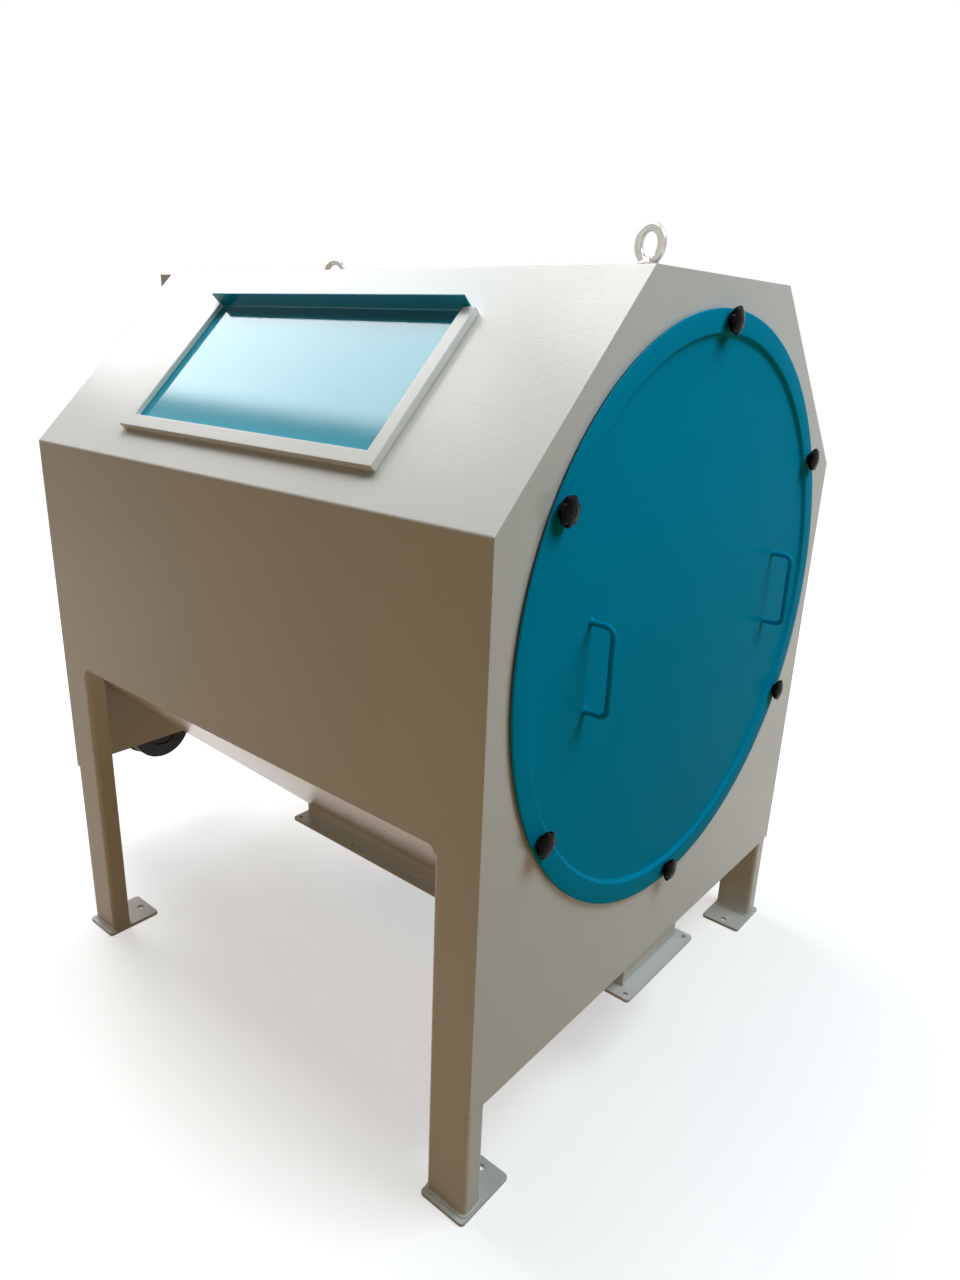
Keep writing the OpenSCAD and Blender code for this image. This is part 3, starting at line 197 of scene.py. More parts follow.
def machine_enamel(name, color):
    """Thick enamel over a cast or rolled surface."""
    finish = Finish(name, color, 0.4)
    cast = finish.noise(420, 3)
    patch = finish.noise(5, 3)
    darker = tuple(0.8 * c for c in color) + (1,)
    finish.set(Base_Color=finish.mix(patch.above(0.5, 0.2), finish.color, darker),
               Roughness=0.36 + patch * 0.14)
    finish.bump(cast, 0.0002)
    return finish.material


def moulded_plastic():
    finish = Finish("knob_plastic", (0.005, 0.003, 0.0022), 0.15, Specular_IOR_Level=0.04)
    cloud = finish.noise(55, 4)
    dust = finish.noise(240, 4).above(0.62, 0.08)
    finish.set(Base_Color=finish.mix(dust * 0.08, finish.color, (0.05, 0.044, 0.038, 1)),
               Roughness=0.12 + cloud * 0.06 + dust * 0.06)
    finish.bump(cloud, 0.00005)
    return finish.material


def rubber(name, color, scale):
    finish = Finish(name, color, 0.75)
    pores = finish.noise(scale, 3)
    paler = tuple(1.7 * c for c in color) + (1,)
    finish.set(Base_Color=finish.mix(pores.above(0.5, 0.15), finish.color, paler),
               Roughness=0.66 + pores * 0.2)
    finish.bump(pores, 0.0004)
    return finish.material


def metal(name, color, roughness, stretch, scale=180, spots=0.0, spot_color=(0.3, 0.26, 0.2)):
    """Bare or plated metal with marks along one direction and duller spots."""
    finish = Finish(name, color, roughness, Metallic=1)
    marks = finish.noise(scale, 3, stretch)
    dull = finish.noise(14, 5).above(0.56, 0.1)
    finish.set(Base_Color=finish.mix(dull * spots, finish.color, (*spot_color, 1)),
               Roughness=roughness - 0.05 + marks * 0.12 + dull * 0.16)
    finish.bump(marks, 0.00006)
    return finish.material


def painted_wood(name, color):
    finish = Finish(name, color, 0.5)
    grain = finish.noise(60, 4, (1, 0.05, 1))
    darker = tuple(0.7 * c for c in color) + (1,)
    finish.set(Base_Color=finish.mix(grain.above(0.5, 0.2), finish.color, darker),
               Roughness=0.42 + grain * 0.2)
    finish.bump(grain, 0.0004)
    return finish.material


FINISHES = {
    "casing_paint": powder_coat("casing_paint", (0.8, 0.79, 0.76), Specular_IOR_Level=0.2),
    "cover_paint": powder_coat("cover_paint", (0.0005, 0.37, 0.63), 0.3, Specular_IOR_Level=0.003),
    "hatch_paint": powder_coat("hatch_paint", (0.0005, 0.34, 0.48), 0.03, 0.00007, 300),
    "machine_paint": machine_enamel("machine_paint", (0.045, 0.06, 0.075)),
    "knob_plastic": moulded_plastic(),
    "gasket_rubber": rubber("gasket_rubber", (0.012, 0.012, 0.012), 900),
    "belt_rubber": rubber("belt_rubber", (0.016, 0.016, 0.016), 500),
    "zinc_plate": metal("zinc_plate", (0.5, 0.48, 0.44), 0.22, (1, 1, 1), 260, 0.6, (0.26, 0.2, 0.13)),
    "bare_steel": metal("bare_steel", (0.5, 0.5, 0.5), 0.34, (1, 0.06, 1), 220, 0.35),
    "bearing_steel": metal("bearing_steel", (0.62, 0.62, 0.63), 0.12, (1, 1, 1)),
    "pulley_iron": machine_enamel("pulley_iron", (0.014, 0.013, 0.012)),
    "brush_back": painted_wood("brush_back", (0.06, 0.062, 0.066)),
    "bristles": rubber("bristles", (0.01, 0.01, 0.01), 700),
}


def piece(name, mesh, body, slot, nodes=(), smooth_angle=None):
    """Puts a finished mesh into the scene: its finish, its body and the solids it stands for."""
    obj = bpy.data.objects.new(name, mesh)
    bpy.context.scene.collection.objects.link(obj)
    mesh.materials.clear()
    mesh.materials.append(FINISHES[slot])
    if smooth_angle is not None:
        shade(mesh, smooth_angle)
    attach(obj, body)
    if nodes:
        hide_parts(*nodes)
    return obj


def shade(mesh, angle):
    """Smooth shading, but for edges that turn more than the angle."""
    bm = bmesh.new()
    bm.from_mesh(mesh)
    for face in bm.faces:
        face.smooth = True
    for edge in bm.edges:
        edge.smooth = len(edge.link_faces) == 2 and edge.calc_face_angle(0) < math.radians(angle)
    bm.to_mesh(mesh)
    bm.free()


def to_mesh(name, bm, outward=True):
    if outward:
        bmesh.ops.recalc_face_normals(bm, faces=bm.faces)
    mesh = bpy.data.meshes.new(name)
    bm.to_mesh(mesh)
    bm.free()
    return mesh


def evaluated(obj):
    """The object's evaluated shape as a plain mesh. The object itself goes."""
    graph = bpy.context.evaluated_depsgraph_get()
    mesh = bpy.data.meshes.new_from_object(obj.evaluated_get(graph), preserve_all_data_layers=True,
                                           depsgraph=graph)
    bpy.data.objects.remove(obj)
    return mesh


def merged(node):
    """The solid's own mesh, its loose triangles merged and its flat faces whole."""
    bm = bmesh.new()
    bm.from_mesh(frame["nodes"][node].data)
    bmesh.ops.remove_doubles(bm, verts=bm.verts, dist=1e-5)
    bmesh.ops.dissolve_limit(bm, angle_limit=math.radians(0.5), verts=bm.verts, edges=bm.edges)
    return bm


def rounded(node, body, slot, width=0.001, segments=2, butts=(), angle=35):
    """The solid with its edges broken. An edge that lies in a butt joint's plane stays sharp."""
    bm = merged(node)
    weight = bm.edges.layers.float.new("bevel_weight_edge")
    for edge in bm.edges:
        hard = edge.calc_face_angle(math.pi) > math.radians(angle)
        joint = any(all(abs(v.co[axis] - at) < 1e-4 for v in edge.verts) for axis, at in butts)
        edge[weight] = 1.0 if hard and not joint else 0.0
        edge.smooth = not (hard and joint)
    obj = bpy.data.objects.new(node + "_raw", to_mesh(node + "_rounded", bm, outward=False))
    bpy.context.scene.collection.objects.link(obj)
    for polygon in obj.data.polygons:
        polygon.use_smooth = True
    bevel = obj.modifiers.new("Edges", "BEVEL")
    bevel.limit_method = "WEIGHT"
    bevel.width = width
    bevel.segments = segments
    flat = obj.modifiers.new("Flat faces", "WEIGHTED_NORMAL")
    flat.mode = "FACE_AREA"
    flat.weight = 100
    flat.keep_sharp = True
    mesh = evaluated(obj)
    return piece(node + "_finished", mesh, body, slot, [node])


def lathe(profile, middle, steps=128, closed=True):
    """Turns (radius, distance along Y) points round an axis along Y."""
    bm = bmesh.new()
    rings = []
    for r, y in profile:
        if r < 1e-6:
            rings.append([bm.verts.new((middle[0], y, middle[1]))])
        else:
            rings.append([bm.verts.new((middle[0] + r * math.cos(2 * math.pi * i / steps), y,
                                        middle[1] + r * math.sin(2 * math.pi * i / steps)))
                          for i in range(steps)])
    pairs = list(zip(rings, rings[1:] + (rings[:1] if closed else [])))
    for a, b in pairs if closed else pairs[:len(rings) - 1]:
        for i in range(steps):
            j = (i + 1) % steps
            if len(a) == 1 and len(b) == 1:
                continue
            if len(a) == 1:
                bm.faces.new((a[0], b[i], b[j]))
            elif len(b) == 1:
                bm.faces.new((a[i], b[0], a[j]))
            else:
                bm.faces.new((a[i], b[i], b[j], a[j]))
    return bm


def join_rings(bm, rings, closed=False):
    """Faces between each ring of vertices and the next one, and from the last to the first if closed."""
    steps = len(rings[0])
    for a, b in zip(rings, rings[1:] + (rings[:1] if closed else [])):
        for i in range(steps):
            j = (i + 1) % steps
            bm.faces.new((a[i], a[j], b[j], b[i]))


def round_corner(a, b, c, r, steps=5):
    """Points of an arc of radius r that rounds the corner b of the path a, b, c."""
    a, b, c = Vector(a), Vector(b), Vector(c)
    u, v = (a - b).normalized(), (c - b).normalized()
    half = u.angle(v) / 2
    reach = r / math.tan(half)
    middle = b + (u + v).normalized() * (r / math.sin(half))
    start, end = b + u * reach - middle, b + v * reach - middle
    sweep = start.angle(end)
    points = []
    for i in range(steps + 1):
        t = i / steps
        across = start * math.sin((1 - t) * sweep) + end * math.sin(t * sweep)
        points.append(middle + across / math.sin(sweep))
    return points


def rounded_path(points, radii, closed=False):
    """A path whose corners are rounded, each with its own radius."""
    out = []
    n = len(points)
    for i, p in enumerate(points):
        r = radii[i]
        if r == 0 or (not closed and i in (0, n - 1)):
            out.append(Vector(p))
        else:
            out += round_corner(points[i - 1], p, points[(i + 1) % n], r)
    return out


def tube(path, radius, sides=16):
    """A round bar along a path, closed at both ends."""
    bm = bmesh.new()
    path = [Vector(p) for p in path]
    rings = []
    side = Vector((1, 0, 0))
    for i, p in enumerate(path):
        along = (path[min(i + 1, len(path) - 1)] - path[max(i - 1, 0)]).normalized()
        side = (side - along * side.dot(along)).normalized()
        other = along.cross(side)
        rings.append([bm.verts.new(p + radius * (math.cos(2 * math.pi * k / sides) * side
                                                 + math.sin(2 * math.pi * k / sides) * other))
                      for k in range(sides)])
    join_rings(bm, rings)
    bm.faces.new(rings[0][::-1])
    bm.faces.new(rings[-1])
    return bm


def added(*meshes):
    """One bmesh from several."""
    whole = bmesh.new()
    for bm in meshes:
        part = bpy.data.meshes.new("part")
        bm.to_mesh(part)
        bm.free()
        whole.from_mesh(part)
        bpy.data.meshes.remove(part)
    return whole


# Casing sheets. Their edges stay sharp where another sheet or a leg butts against them
END_JOINTS = [(1, INNER_FRONT_Y), (1, -INNER_FRONT_Y)]
SEAMS = [(0, -0.228), (0, 0.228)]
LEG_JOINTS = [(2, PANEL_LOW_Z), (0, HALF_W), (0, -HALF_W)]
for node in ["left_panel", "right_panel"]:
    rounded(node, "casing", "casing_paint", 0.0012, butts=END_JOINTS + SEAMS + LEG_JOINTS)
rounded("top_panel", "casing", "casing_paint", 0.0008, butts=END_JOINTS + SEAMS)
for node in ["front_plate", "rear_plate"]:
    rounded(node, "casing", "casing_paint", 0.0013, 3, butts=END_JOINTS)
for node in ["front_left_leg", "front_right_leg", "rear_left_leg", "rear_right_leg"]:
    rounded(node, "casing", "casing_paint", 0.001,
            butts=END_JOINTS + [(2, PANEL_LOW_Z), (2, FOOT_TOP_Z)])
for node in ["front_left_foot", "front_right_foot", "rear_left_foot", "rear_right_foot"]:
    rounded(node, "casing", "casing_paint", 0.0012)
for node in ["left_hopper_plate", "right_hopper_plate", "rear_hopper_plate", "neck_front_wall"]:
    rounded(node, "casing", "casing_paint", 0.0006, butts=END_JOINTS)
rounded("outlet_flange", "casing", "casing_paint", 0.001)
rounded("hatch_frame", "casing", "casing_paint", 0.0028, 4)
rounded("hatch_panel", "hatch", "hatch_paint", 0.0009, 2)
for node in ["overs_divider", "eye_pads", "inlet_box", "inlet_flange", "inlet_tray", "drive_frame",
             "belt_guard"]:
    rounded(node, "casing", "casing_paint", 0.0008)


def corner_fillers():
    """Weld and filler that close the groove between an end plate and the round corner of a leg."""
    whole = bmesh.new()
    r = LEG_CORNER_R
    for sx in (-1, 1):
        for sy, low in ((-1, FRONT_PLATE_LOW_Z), (1, REAR_PLATE_LOW_Z)):
            arc = [Vector((HALF_W - r + r * math.cos(t), -INNER_FRONT_Y - r + r * math.sin(t)))
                   for t in (math.pi / 2 * k / 8 for k in range(9))]
            outline = arc + [Vector((HALF_W, -INNER_FRONT_Y))]
            rows = [[whole.verts.new((sx * p.x, sy * p.y, z)) for p in outline]
                    for z in (low, PANEL_LOW_Z)]
            n = len(outline)
            for i in range(n):
                j = (i + 1) % n
                whole.faces.new((rows[0][i], rows[0][j], rows[1][j], rows[1][i]))
            whole.faces.new(rows[0])
            whole.faces.new(rows[1])
    piece("corner_fillers", to_mesh("corner_fillers", whole), "casing", "casing_paint")


corner_fillers()


def front_cover():
    """Pressed disc: rounded rim edge, round bends into the recess, closed at the middle."""
    t, wall, lean = 0.003, 0.005, 0.0014
    front = rounded_path(
        [(0, DISH_Y, 0), (DISH_R - wall, DISH_Y, 0), (DISH_R, COVER_FRONT_Y, 0), (COVER_R, COVER_FRONT_Y, 0),
         (COVER_R, COVER_BACK_Y, 0)], [0, 0.005, 0.003, 0.0016, 0])
    back = rounded_path(
        [(COVER_R, COVER_BACK_Y, 0), (DISH_R + lean, COVER_BACK_Y, 0), (DISH_R - wall + lean, DISH_Y + t, 0),
         (0, DISH_Y + t, 0)], [0, 0.003, 0.003, 0])
    flat = [(r, DISH_Y) for r in (0.15, 0.3, 0.42)]
    rows = [tuple(p[:2]) for p in front]
    rows = rows[:1] + flat + rows[1:] + [tuple(p[:2]) for p in back[1:]]
    mesh = to_mesh("cover_disc", lathe(rows, (0, DRUM_Z), 192, closed=False))
    piece("cover_disc_finished", mesh, "front_cover", "cover_paint", ["cover_disc"], 40)


def gasket():
    lo, hi = COVER_BACK_Y, FRONT_Y - 0.0002
    corners = [(0.523, lo, 0), (0.549, lo, 0), (0.549, hi, 0), (0.523, hi, 0)]
    ring = rounded_path(corners, [0.0015] * 4, closed=True)
    mesh = to_mesh("cover_gasket", lathe([(p.x, p.y) for p in ring], (0, DRUM_Z), 160))
    piece("cover_gasket_finished", mesh, "front_cover", "gasket_rubber", ["cover_gasket"], 50)


def weld_collar(middle, r_in, r_out, height, steps=28, ripples=9, seed=0.0):
    """A welded fillet round a bar's foot, with the ripples of the bead. It stands towards -Y."""
    bm = bmesh.new()
    rings = []
    rows = 5
    for k in range(rows):
        t = k / (rows - 1)
        ring = []
        for i in range(steps):
            a = 2 * math.pi * i / steps
            wave = 1 + 0.12 * math.sin(ripples * a + seed) + 0.07 * math.sin(3 * a + 2 * seed)
            r = r_in + (r_out * wave - r_in) * (1 - t) ** 1.6
            y = middle[1] - height * wave * t
            ring.append(bm.verts.new((middle[0] + r * math.cos(a), y, middle[2] + r * math.sin(a))))
        rings.append(ring)
    join_rings(bm, rings)
    bm.faces.new(rings[0][::-1])
    bm.faces.new(rings[-1])
    return bm


def handles():
    """Two bent bars, welded to the recessed face."""
    bars = []
    half = 0.075
    foot, out = DISH_Y - 0.0002, DISH_Y - 0.043
    for sx in (-1, 1):
        x = 0.35 * sx
        corners = [(x, foot, DRUM_Z - half), (x, out, DRUM_Z - half), (x, out, DRUM_Z + half),
                   (x, foot, DRUM_Z + half)]
        bars.append(tube(rounded_path(corners, [0, 0.014, 0.014, 0]), 0.005, 18))
        for k, sz in enumerate((-1, 1)):
            bars.append(weld_collar((x, DISH_Y - 0.0001, DRUM_Z + half * sz), 0.0048, 0.0088, 0.0042,
                                    seed=1.3 * k + sx))
    mesh = to_mesh("cover_handles", added(*bars))
    piece("cover_handles_finished", mesh, "front_cover", "cover_paint", ["cover_handles"], 50)


def soft_max(a, b, soft):
    """The larger of two lengths, with the corner between them rounded."""
    return b + 0.5 * (a - b + math.sqrt((a - b) ** 2 + soft ** 2))


def knob_outline(angle):
    """Distance of the knob's lobed outline from its axis."""
    lobes, lobe_r, web_r, tip = 7, 0.008, 0.0205, 0.024
    step = 2 * math.pi / lobes
    near = (angle + step / 2) % step - step / 2
    middle = tip - lobe_r
    lobe = middle * math.cos(near) + math.sqrt(lobe_r ** 2 - (middle * math.sin(near)) ** 2)
    return soft_max(lobe, web_r, 0.0009)


def star_knob(number):
    """Moulded star knob: waisted neck, bevelled back, shallow lobes, flat dome and the screw's shank."""
    x, z = KNOB_PLACES[number - 1]
    steps, turn = 126, math.radians(37 * number)
    dome_r, top = 0.06, 0.02
    bm = bmesh.new()
    rings = []

    def add_ring(place):
        """One ring. The rule gives height and radius from the distance of the lobed outline."""
        ring = []
        for i in range(steps):
            a = 2 * math.pi * i / steps
            y, r = place(knob_outline(a))
            ring.append(bm.verts.new((x + r * math.cos(a + turn), COVER_FRONT_Y - y,
                                      DRUM_Z + z + r * math.sin(a + turn))))
        rings.append(ring)

    def on_dome(share, lobed):
        r = share * lobed + (1 - share) * 0.004
        return top - dome_r + math.sqrt(dome_r ** 2 - r ** 2), r

    neck = [(0, 0.012), (0.001, 0.0121), (0.0022, 0.0112), (0.0036, 0.0102), (0.0044, 0.0101),
            (0.005, 0.0112)]
    back = [(0.005, 0.0162), (0.0053, 0.0172), (0.0075, 0.0195), (0.0098, 0.0219), (0.0112, 0.0231)]
    edge = [(0.0123, 0), (0.0136, 0), (0.0146, 0.0003), (0.0153, 0.0009), (0.0159, 0.0019)]
    cap = [(0.0004, 0.0075), (0.0012, 0.0066), (0.0012, 0.0058), (0.0004, 0.003)]
    for y, r in neck:
        add_ring(lambda lobed: (y, r))
    for y, r in back:
        add_ring(lambda lobed: (y, min(r, lobed)))
    for y, inset in edge:
        add_ring(lambda lobed: (y, lobed - inset))
    for share in (0.82, 0.7, 0.55, 0.42):
        add_ring(lambda lobed: on_dome(share, lobed))
    for depth, r in cap:
        add_ring(lambda lobed: (top - depth, r))
    join_rings(bm, rings)
    bm.faces.new(rings[0][::-1])
    bm.faces.new(rings[-1])
    screw = tube([(x, COVER_FRONT_Y - 0.001, DRUM_Z + z), (x, COVER_FRONT_Y + 0.0282, DRUM_Z + z)], 0.006, 24)
    mesh = to_mesh(f"knob_{number}", added(bm, screw))
    piece(f"knob_{number}_finished", mesh, f"knob_{number}_body", "knob_plastic", [f"knob_{number}"], 50)


front_cover()
gasket()
handles()
for number in range(1, 7):
    star_knob(number)


def lifting_eye_bolts():
    """Forged eye bolts: ring, neck that flares into the collar, and shank."""
    parts = []
    for x, y, turn in EYES:
        bm = bmesh.new()
        rounds, sides, thick = 56, 20, 0.007
        rings = []
        for i in range(rounds):
            a = 2 * math.pi * i / rounds
            ring = []
            for k in range(sides):
                b = 2 * math.pi * k / sides
                reach = 0.0245 + thick * math.cos(b)
                side = thick * math.sin(b) * (0.94 + 0.06 * math.cos(2 * b))
                ring.append(bm.verts.new((side, reach * math.sin(a), 0.031 + reach * math.cos(a))))
            rings.append(ring)
        join_rings(bm, rings, closed=True)
        foot = lathe([(0, 0.0), (0.0165, 0.0), (0.017, -0.0006), (0.017, -0.0035), (0.0163, -0.0052),
                      (0.0135, -0.0072), (0.0108, -0.0095), (0.0085, -0.0125), (0, -0.0125)],
                     (0, 0), 40, closed=False)
        shank = lathe([(0, 0.027), (0.0072, 0.027), (0.008, 0.0262), (0.008, 0.0), (0, 0.0)],
                      (0, 0), 32, closed=False)
        upright = Matrix.Rotation(math.radians(-90), 4, "X")
        for turned in (foot, shank):
            bmesh.ops.transform(turned, matrix=upright, verts=turned.verts)
        whole = added(bm, foot, shank)
        place = Matrix.Translation((x, y, TOP_Z)) @ Matrix.Rotation(math.radians(turn), 4, "Z")
        bmesh.ops.transform(whole, matrix=place, verts=whole.verts)
        parts.append(whole)
    mesh = to_mesh("lifting_eyes", added(*parts))
    piece("lifting_eyes_finished", mesh, "casing", "zinc_plate", ["lifting_eyes"], 50)


lifting_eye_bolts()


def bead(path, radius, seed, closed=False):
    """A weld bead along a path, with its ripples. The lower half sinks into the joint."""
    bm = bmesh.new()
    sides, rings = 8, []
    count = len(path)
    for i, p in enumerate(path):
        before = path[(i - 1) % count] if closed else path[max(i - 1, 0)]
        after = path[(i + 1) % count] if closed else path[min(i + 1, count - 1)]
        along = (after - before).normalized()
        side = along.cross(Vector((0, 0, 1))).normalized() if abs(along.z) < 0.9 else Vector((1, 0, 0))
        up = side.cross(along)
        size = radius * (1 + 0.1 * math.sin(2.1 * i + seed) + 0.07 * math.sin(0.37 * i + 2 * seed))
        rings.append([bm.verts.new(p + size * (math.cos(2 * math.pi * k / sides) * side
                                               + math.sin(2 * math.pi * k / sides) * up))
                      for k in range(sides)])
    join_rings(bm, rings, closed)
    if not closed:
        bm.faces.new(rings[0])
        bm.faces.new(rings[-1])
    return bm


def along_line(start, end, spacing=0.0035):
    """Points at equal steps from the start to the end."""
    start, end = Vector(start), Vector(end)
    count = max(2, round((end - start).length / spacing))
    return [start.lerp(end, i / count) for i in range(count + 1)]


def welds():
    """Beads at the feet of the legs and where the neck stands on the outlet flange."""
    beads = []
    for sx in (-1, 1):
        for sy in (-1, 1):
            corners = [(sx * x, sy * y, 0.0085) for x, y in
                       ((0.6008, 0.6228), (0.6008, 0.5312), (0.5542, 0.5312), (0.5542, 0.6228))]
            ring = rounded_path(corners, [LEG_CORNER_R] * 4, closed=True)
            path = []
            for a, b in zip(ring, ring[1:] + ring[:1]):
                path += along_line(a, b)[:-1]
            beads.append(bead(path, 0.0032, sx + 2 * sy, closed=True))
    for x in (-0.1105, 0.1105):
        beads.append(bead(along_line((x, -0.618, 0.1935), (x, 0.366, 0.1935)), 0.0026, 5 * x))
    beads.append(bead(along_line((-0.106, -0.6222, 0.1935), (0.106, -0.6222, 0.1935)), 0.0026, 0.4))
    mesh = to_mesh("welds", added(*beads))
    piece("welds", mesh, "casing", "casing_paint", smooth_angle=60)


welds()


def hex_bolt(place, across, head, washer):
    """A hexagon bolt's head with its chamfer, on a washer. It stands towards +Y."""
    bm = bmesh.new()
    washer_t, steps = 0.0016, 24
    disc = [[bm.verts.new((washer * math.cos(2 * math.pi * i / steps),
                           washer * math.sin(2 * math.pi * i / steps), h)) for i in range(steps)]
            for h in (0, washer_t)]
    corner = across / 2 / math.cos(math.pi / 6)
    prism = [[bm.verts.new((r * math.cos(math.pi / 3 * i), r * math.sin(math.pi / 3 * i), h))
              for i in range(6)]
             for r, h in ((corner, washer_t), (corner, head), (across / 2 * 0.96, head + 0.0008))]
    for rings in (disc, prism):
        join_rings(bm, rings)
        bm.faces.new(rings[0][::-1])
        bm.faces.new(rings[-1])
    turn = Vector((0, 1, 0)).to_track_quat("Z", "Y").to_matrix().to_4x4()
    bmesh.ops.transform(bm, matrix=Matrix.Translation(place) @ turn, verts=bm.verts)
    return bm


def on_circle(middle, radius):
    """Four places on a circle, between the upright and the level."""
    turns = [math.radians(a) for a in range(45, 405, 90)]
    return [(middle[0] + radius * math.cos(a), middle[1] + radius * math.sin(a)) for a in turns]


def drive_bolts():
    """Bolt heads on the motor plate, the gearbox and the outer bearing cap."""
    plate_y, gearbox_y, cap_y = 0.767, 0.899, 0.661
    bolts = [hex_bolt((x, plate_y, z), 0.016, 0.0067, 0.012)
             for x, z in ((-0.452, 0.46), (-0.452, 0.6), (-0.112, 0.452))]
    bolts += [hex_bolt((x, gearbox_y, z), 0.013, 0.0055, 0.0085)
              for x, z in on_circle((-0.332, 0.424), 0.058)]
    bolts += [hex_bolt((x, cap_y, z), 0.01, 0.0042, 0.007) for x, z in on_circle((0, DRUM_Z), 0.047)]
    mesh = to_mesh("drive_bolts", added(*bolts))
    piece("drive_bolts", mesh, "casing", "zinc_plate", smooth_angle=30)


drive_bolts()


def whole_part(wire):
    return wire.math("FLOOR", wire)


def repeated(name, shape, places_tree, inputs, slot):
    """Plain mesh of a shape that a Geometry Nodes tree repeats. The tree ends in real geometry."""
    tree = bpy.data.node_groups.new(name, "GeometryNodeTree")
    tree.interface.new_socket("Geometry", in_out="OUTPUT", socket_type="NodeSocketGeometry")
    sockets = {}
    for label, value in inputs.items():
        kind = "NodeSocketInt" if isinstance(value, int) else "NodeSocketFloat"
        sockets[label] = tree.interface.new_socket(label, in_out="INPUT", socket_type=kind).identifier
    nodes = NodeTree(tree)
    start = tree.nodes.new("NodeGroupInput")
    given = {label: Wire(nodes, start.outputs[label]) for label in inputs}
    source = bpy.data.objects.new(name + "_shape", to_mesh(name + "_shape", shape))
    source_geometry = nodes.node("GeometryNodeObjectInfo", None, {"Object": source}, out="Geometry")
    points, rotation = places_tree(nodes, given)
    copies = nodes.node("GeometryNodeInstanceOnPoints", None,
                        {"Points": points, "Instance": source_geometry, "Rotation": rotation})
    real = nodes.node("GeometryNodeRealizeInstances", None, {0: copies})
    dressed = nodes.node("GeometryNodeSetMaterial", None, {"Geometry": real, "Material": FINISHES[slot]})
    nodes.node("NodeGroupOutput", None, {0: dressed}, out=None)
    carrier = bpy.data.objects.new(name + "_raw", bpy.data.meshes.new(name + "_raw"))
    bpy.context.scene.collection.objects.link(carrier)
    modifier = carrier.modifiers.new("Repeat", "NODES")
    modifier.node_group = tree
    for label, value in inputs.items():
        modifier[sockets[label]] = value
    mesh = evaluated(carrier)
    bpy.data.objects.remove(source)
    return mesh


SIEVE_R = 0.486
HOLES_ROUND = 110
HOLE_PITCH = 2 * math.pi * SIEVE_R / HOLES_ROUND
ROW_STEP = HOLE_PITCH * math.sqrt(3) / 2
SIEVE_START = -0.497


def sieve_cell(hole=0.0092, sheet=0.0016):
    """A six-cornered bit of sheet round its hole. X runs round the drum, Y along it and Z outwards."""
    bm = bmesh.new()
    reach = HOLE_PITCH / 2 / math.cos(math.pi / 6)
    steps = 12
    rows = []
    for z in (sheet / 2, -sheet / 2):
        outline, inner = [], []
        for i in range(steps):
            a = 2 * math.pi * i / steps + math.pi / 2
            r = reach if i % 2 == 0 else HOLE_PITCH / 2
            outline.append(bm.verts.new((r * math.cos(a), r * math.sin(a), z)))
            inner.append(bm.verts.new((hole * math.cos(a), hole * math.sin(a), z)))
        rows.append((outline, inner))
    for i in range(steps):
        j = (i + 1) % steps
        (out_a, in_a), (out_b, in_b) = rows
        bm.faces.new((out_a[i], out_a[j], in_a[j], in_a[i]))
        bm.faces.new((in_b[i], in_b[j], out_b[j], out_b[i]))
        bm.faces.new((in_a[i], in_a[j], in_b[j], in_b[i]))
    return bm


def round_the_drum(nodes, given):
    """Points on the drum in staggered rows, and the turn that lays a cell flat on it."""
    count = given["Rows"] * given["Around"]
    index = nodes.node("GeometryNodeInputIndex")
    row = whole_part(index / given["Around"])
    lane = index - row * given["Around"]
    row = row + given["First row"]
    lane = lane + row % 2 * 0.5
    angle = lane * 2 * math.pi / given["Around"]
    x = given["Radius"] * angle.math("SINE", angle)
    z = given["Radius"] * angle.math("COSINE", angle) + DRUM_Z
    y = given["Start"] + row * given["Row step"]
    line = nodes.node("GeometryNodePoints", None, {"Count": count})
    place = nodes.node("ShaderNodeCombineXYZ", None, {0: x, 1: y, 2: z})
    points = nodes.node("GeometryNodeSetPosition", None, {"Geometry": line, "Position": place})
    return points, nodes.node("ShaderNodeCombineXYZ", None, {1: angle})


def perforated_sheet():
    """The drum's sieve in three lengths of perforated sheet, with plain margins under the end rings."""
    for number, first in enumerate((0, 15, 30), 1):
        inputs = {"First row": first, "Rows": 15, "Around": HOLES_ROUND, "Radius": SIEVE_R,
                  "Start": SIEVE_START, "Row step": ROW_STEP}
        mesh = repeated(f"sieve_{number}", sieve_cell(), round_the_drum, inputs, "bare_steel")
        piece(f"sieve_{number}", mesh, "drum", "bare_steel", ["drum_screen"] if number == 1 else (), 30)
    margins = [lathe([(0.485, y0), (0.487, y0), (0.487, y1), (0.485, y1)], (0, DRUM_Z), 180)
               for y0, y1 in ((-0.52, -0.492), (0.566, 0.598))]
    piece("sieve_margins", to_mesh("sieve_margins", added(*margins)), "drum", "bare_steel", smooth_angle=30)


perforated_sheet()


def tuft(length=0.042, spread=0.0045):
    """A bundle of bristles that stands along X and opens a little towards its tips."""
    bm = bmesh.new()
    for i in range(16):
        reach = spread * math.sqrt((i + 0.5) / 16)
        turn = 2.399963 * i
        root = Vector((0, reach * math.cos(turn), reach * math.sin(turn)))
        tip = Vector((length - 0.0015 * (i % 3), 1.5 * root.y, 1.5 * root.z))
        ends = [[bm.verts.new(at + Vector((0, 0.0007 * math.cos(2.0944 * k), 0.0007 * math.sin(2.0944 * k))))
                 for k in range(3)] for at in (root, tip)]
        for k in range(3):
            m = (k + 1) % 3
            bm.faces.new((ends[0][k], ends[0][m], ends[1][m], ends[1][k]))
        bm.faces.new(ends[0][::-1])
        bm.faces.new(ends[1])
    return bm


BRUSH_WAY = Vector((0.7121, 0, 0.7021))
BRUSH_ROOT_R = 0.5294


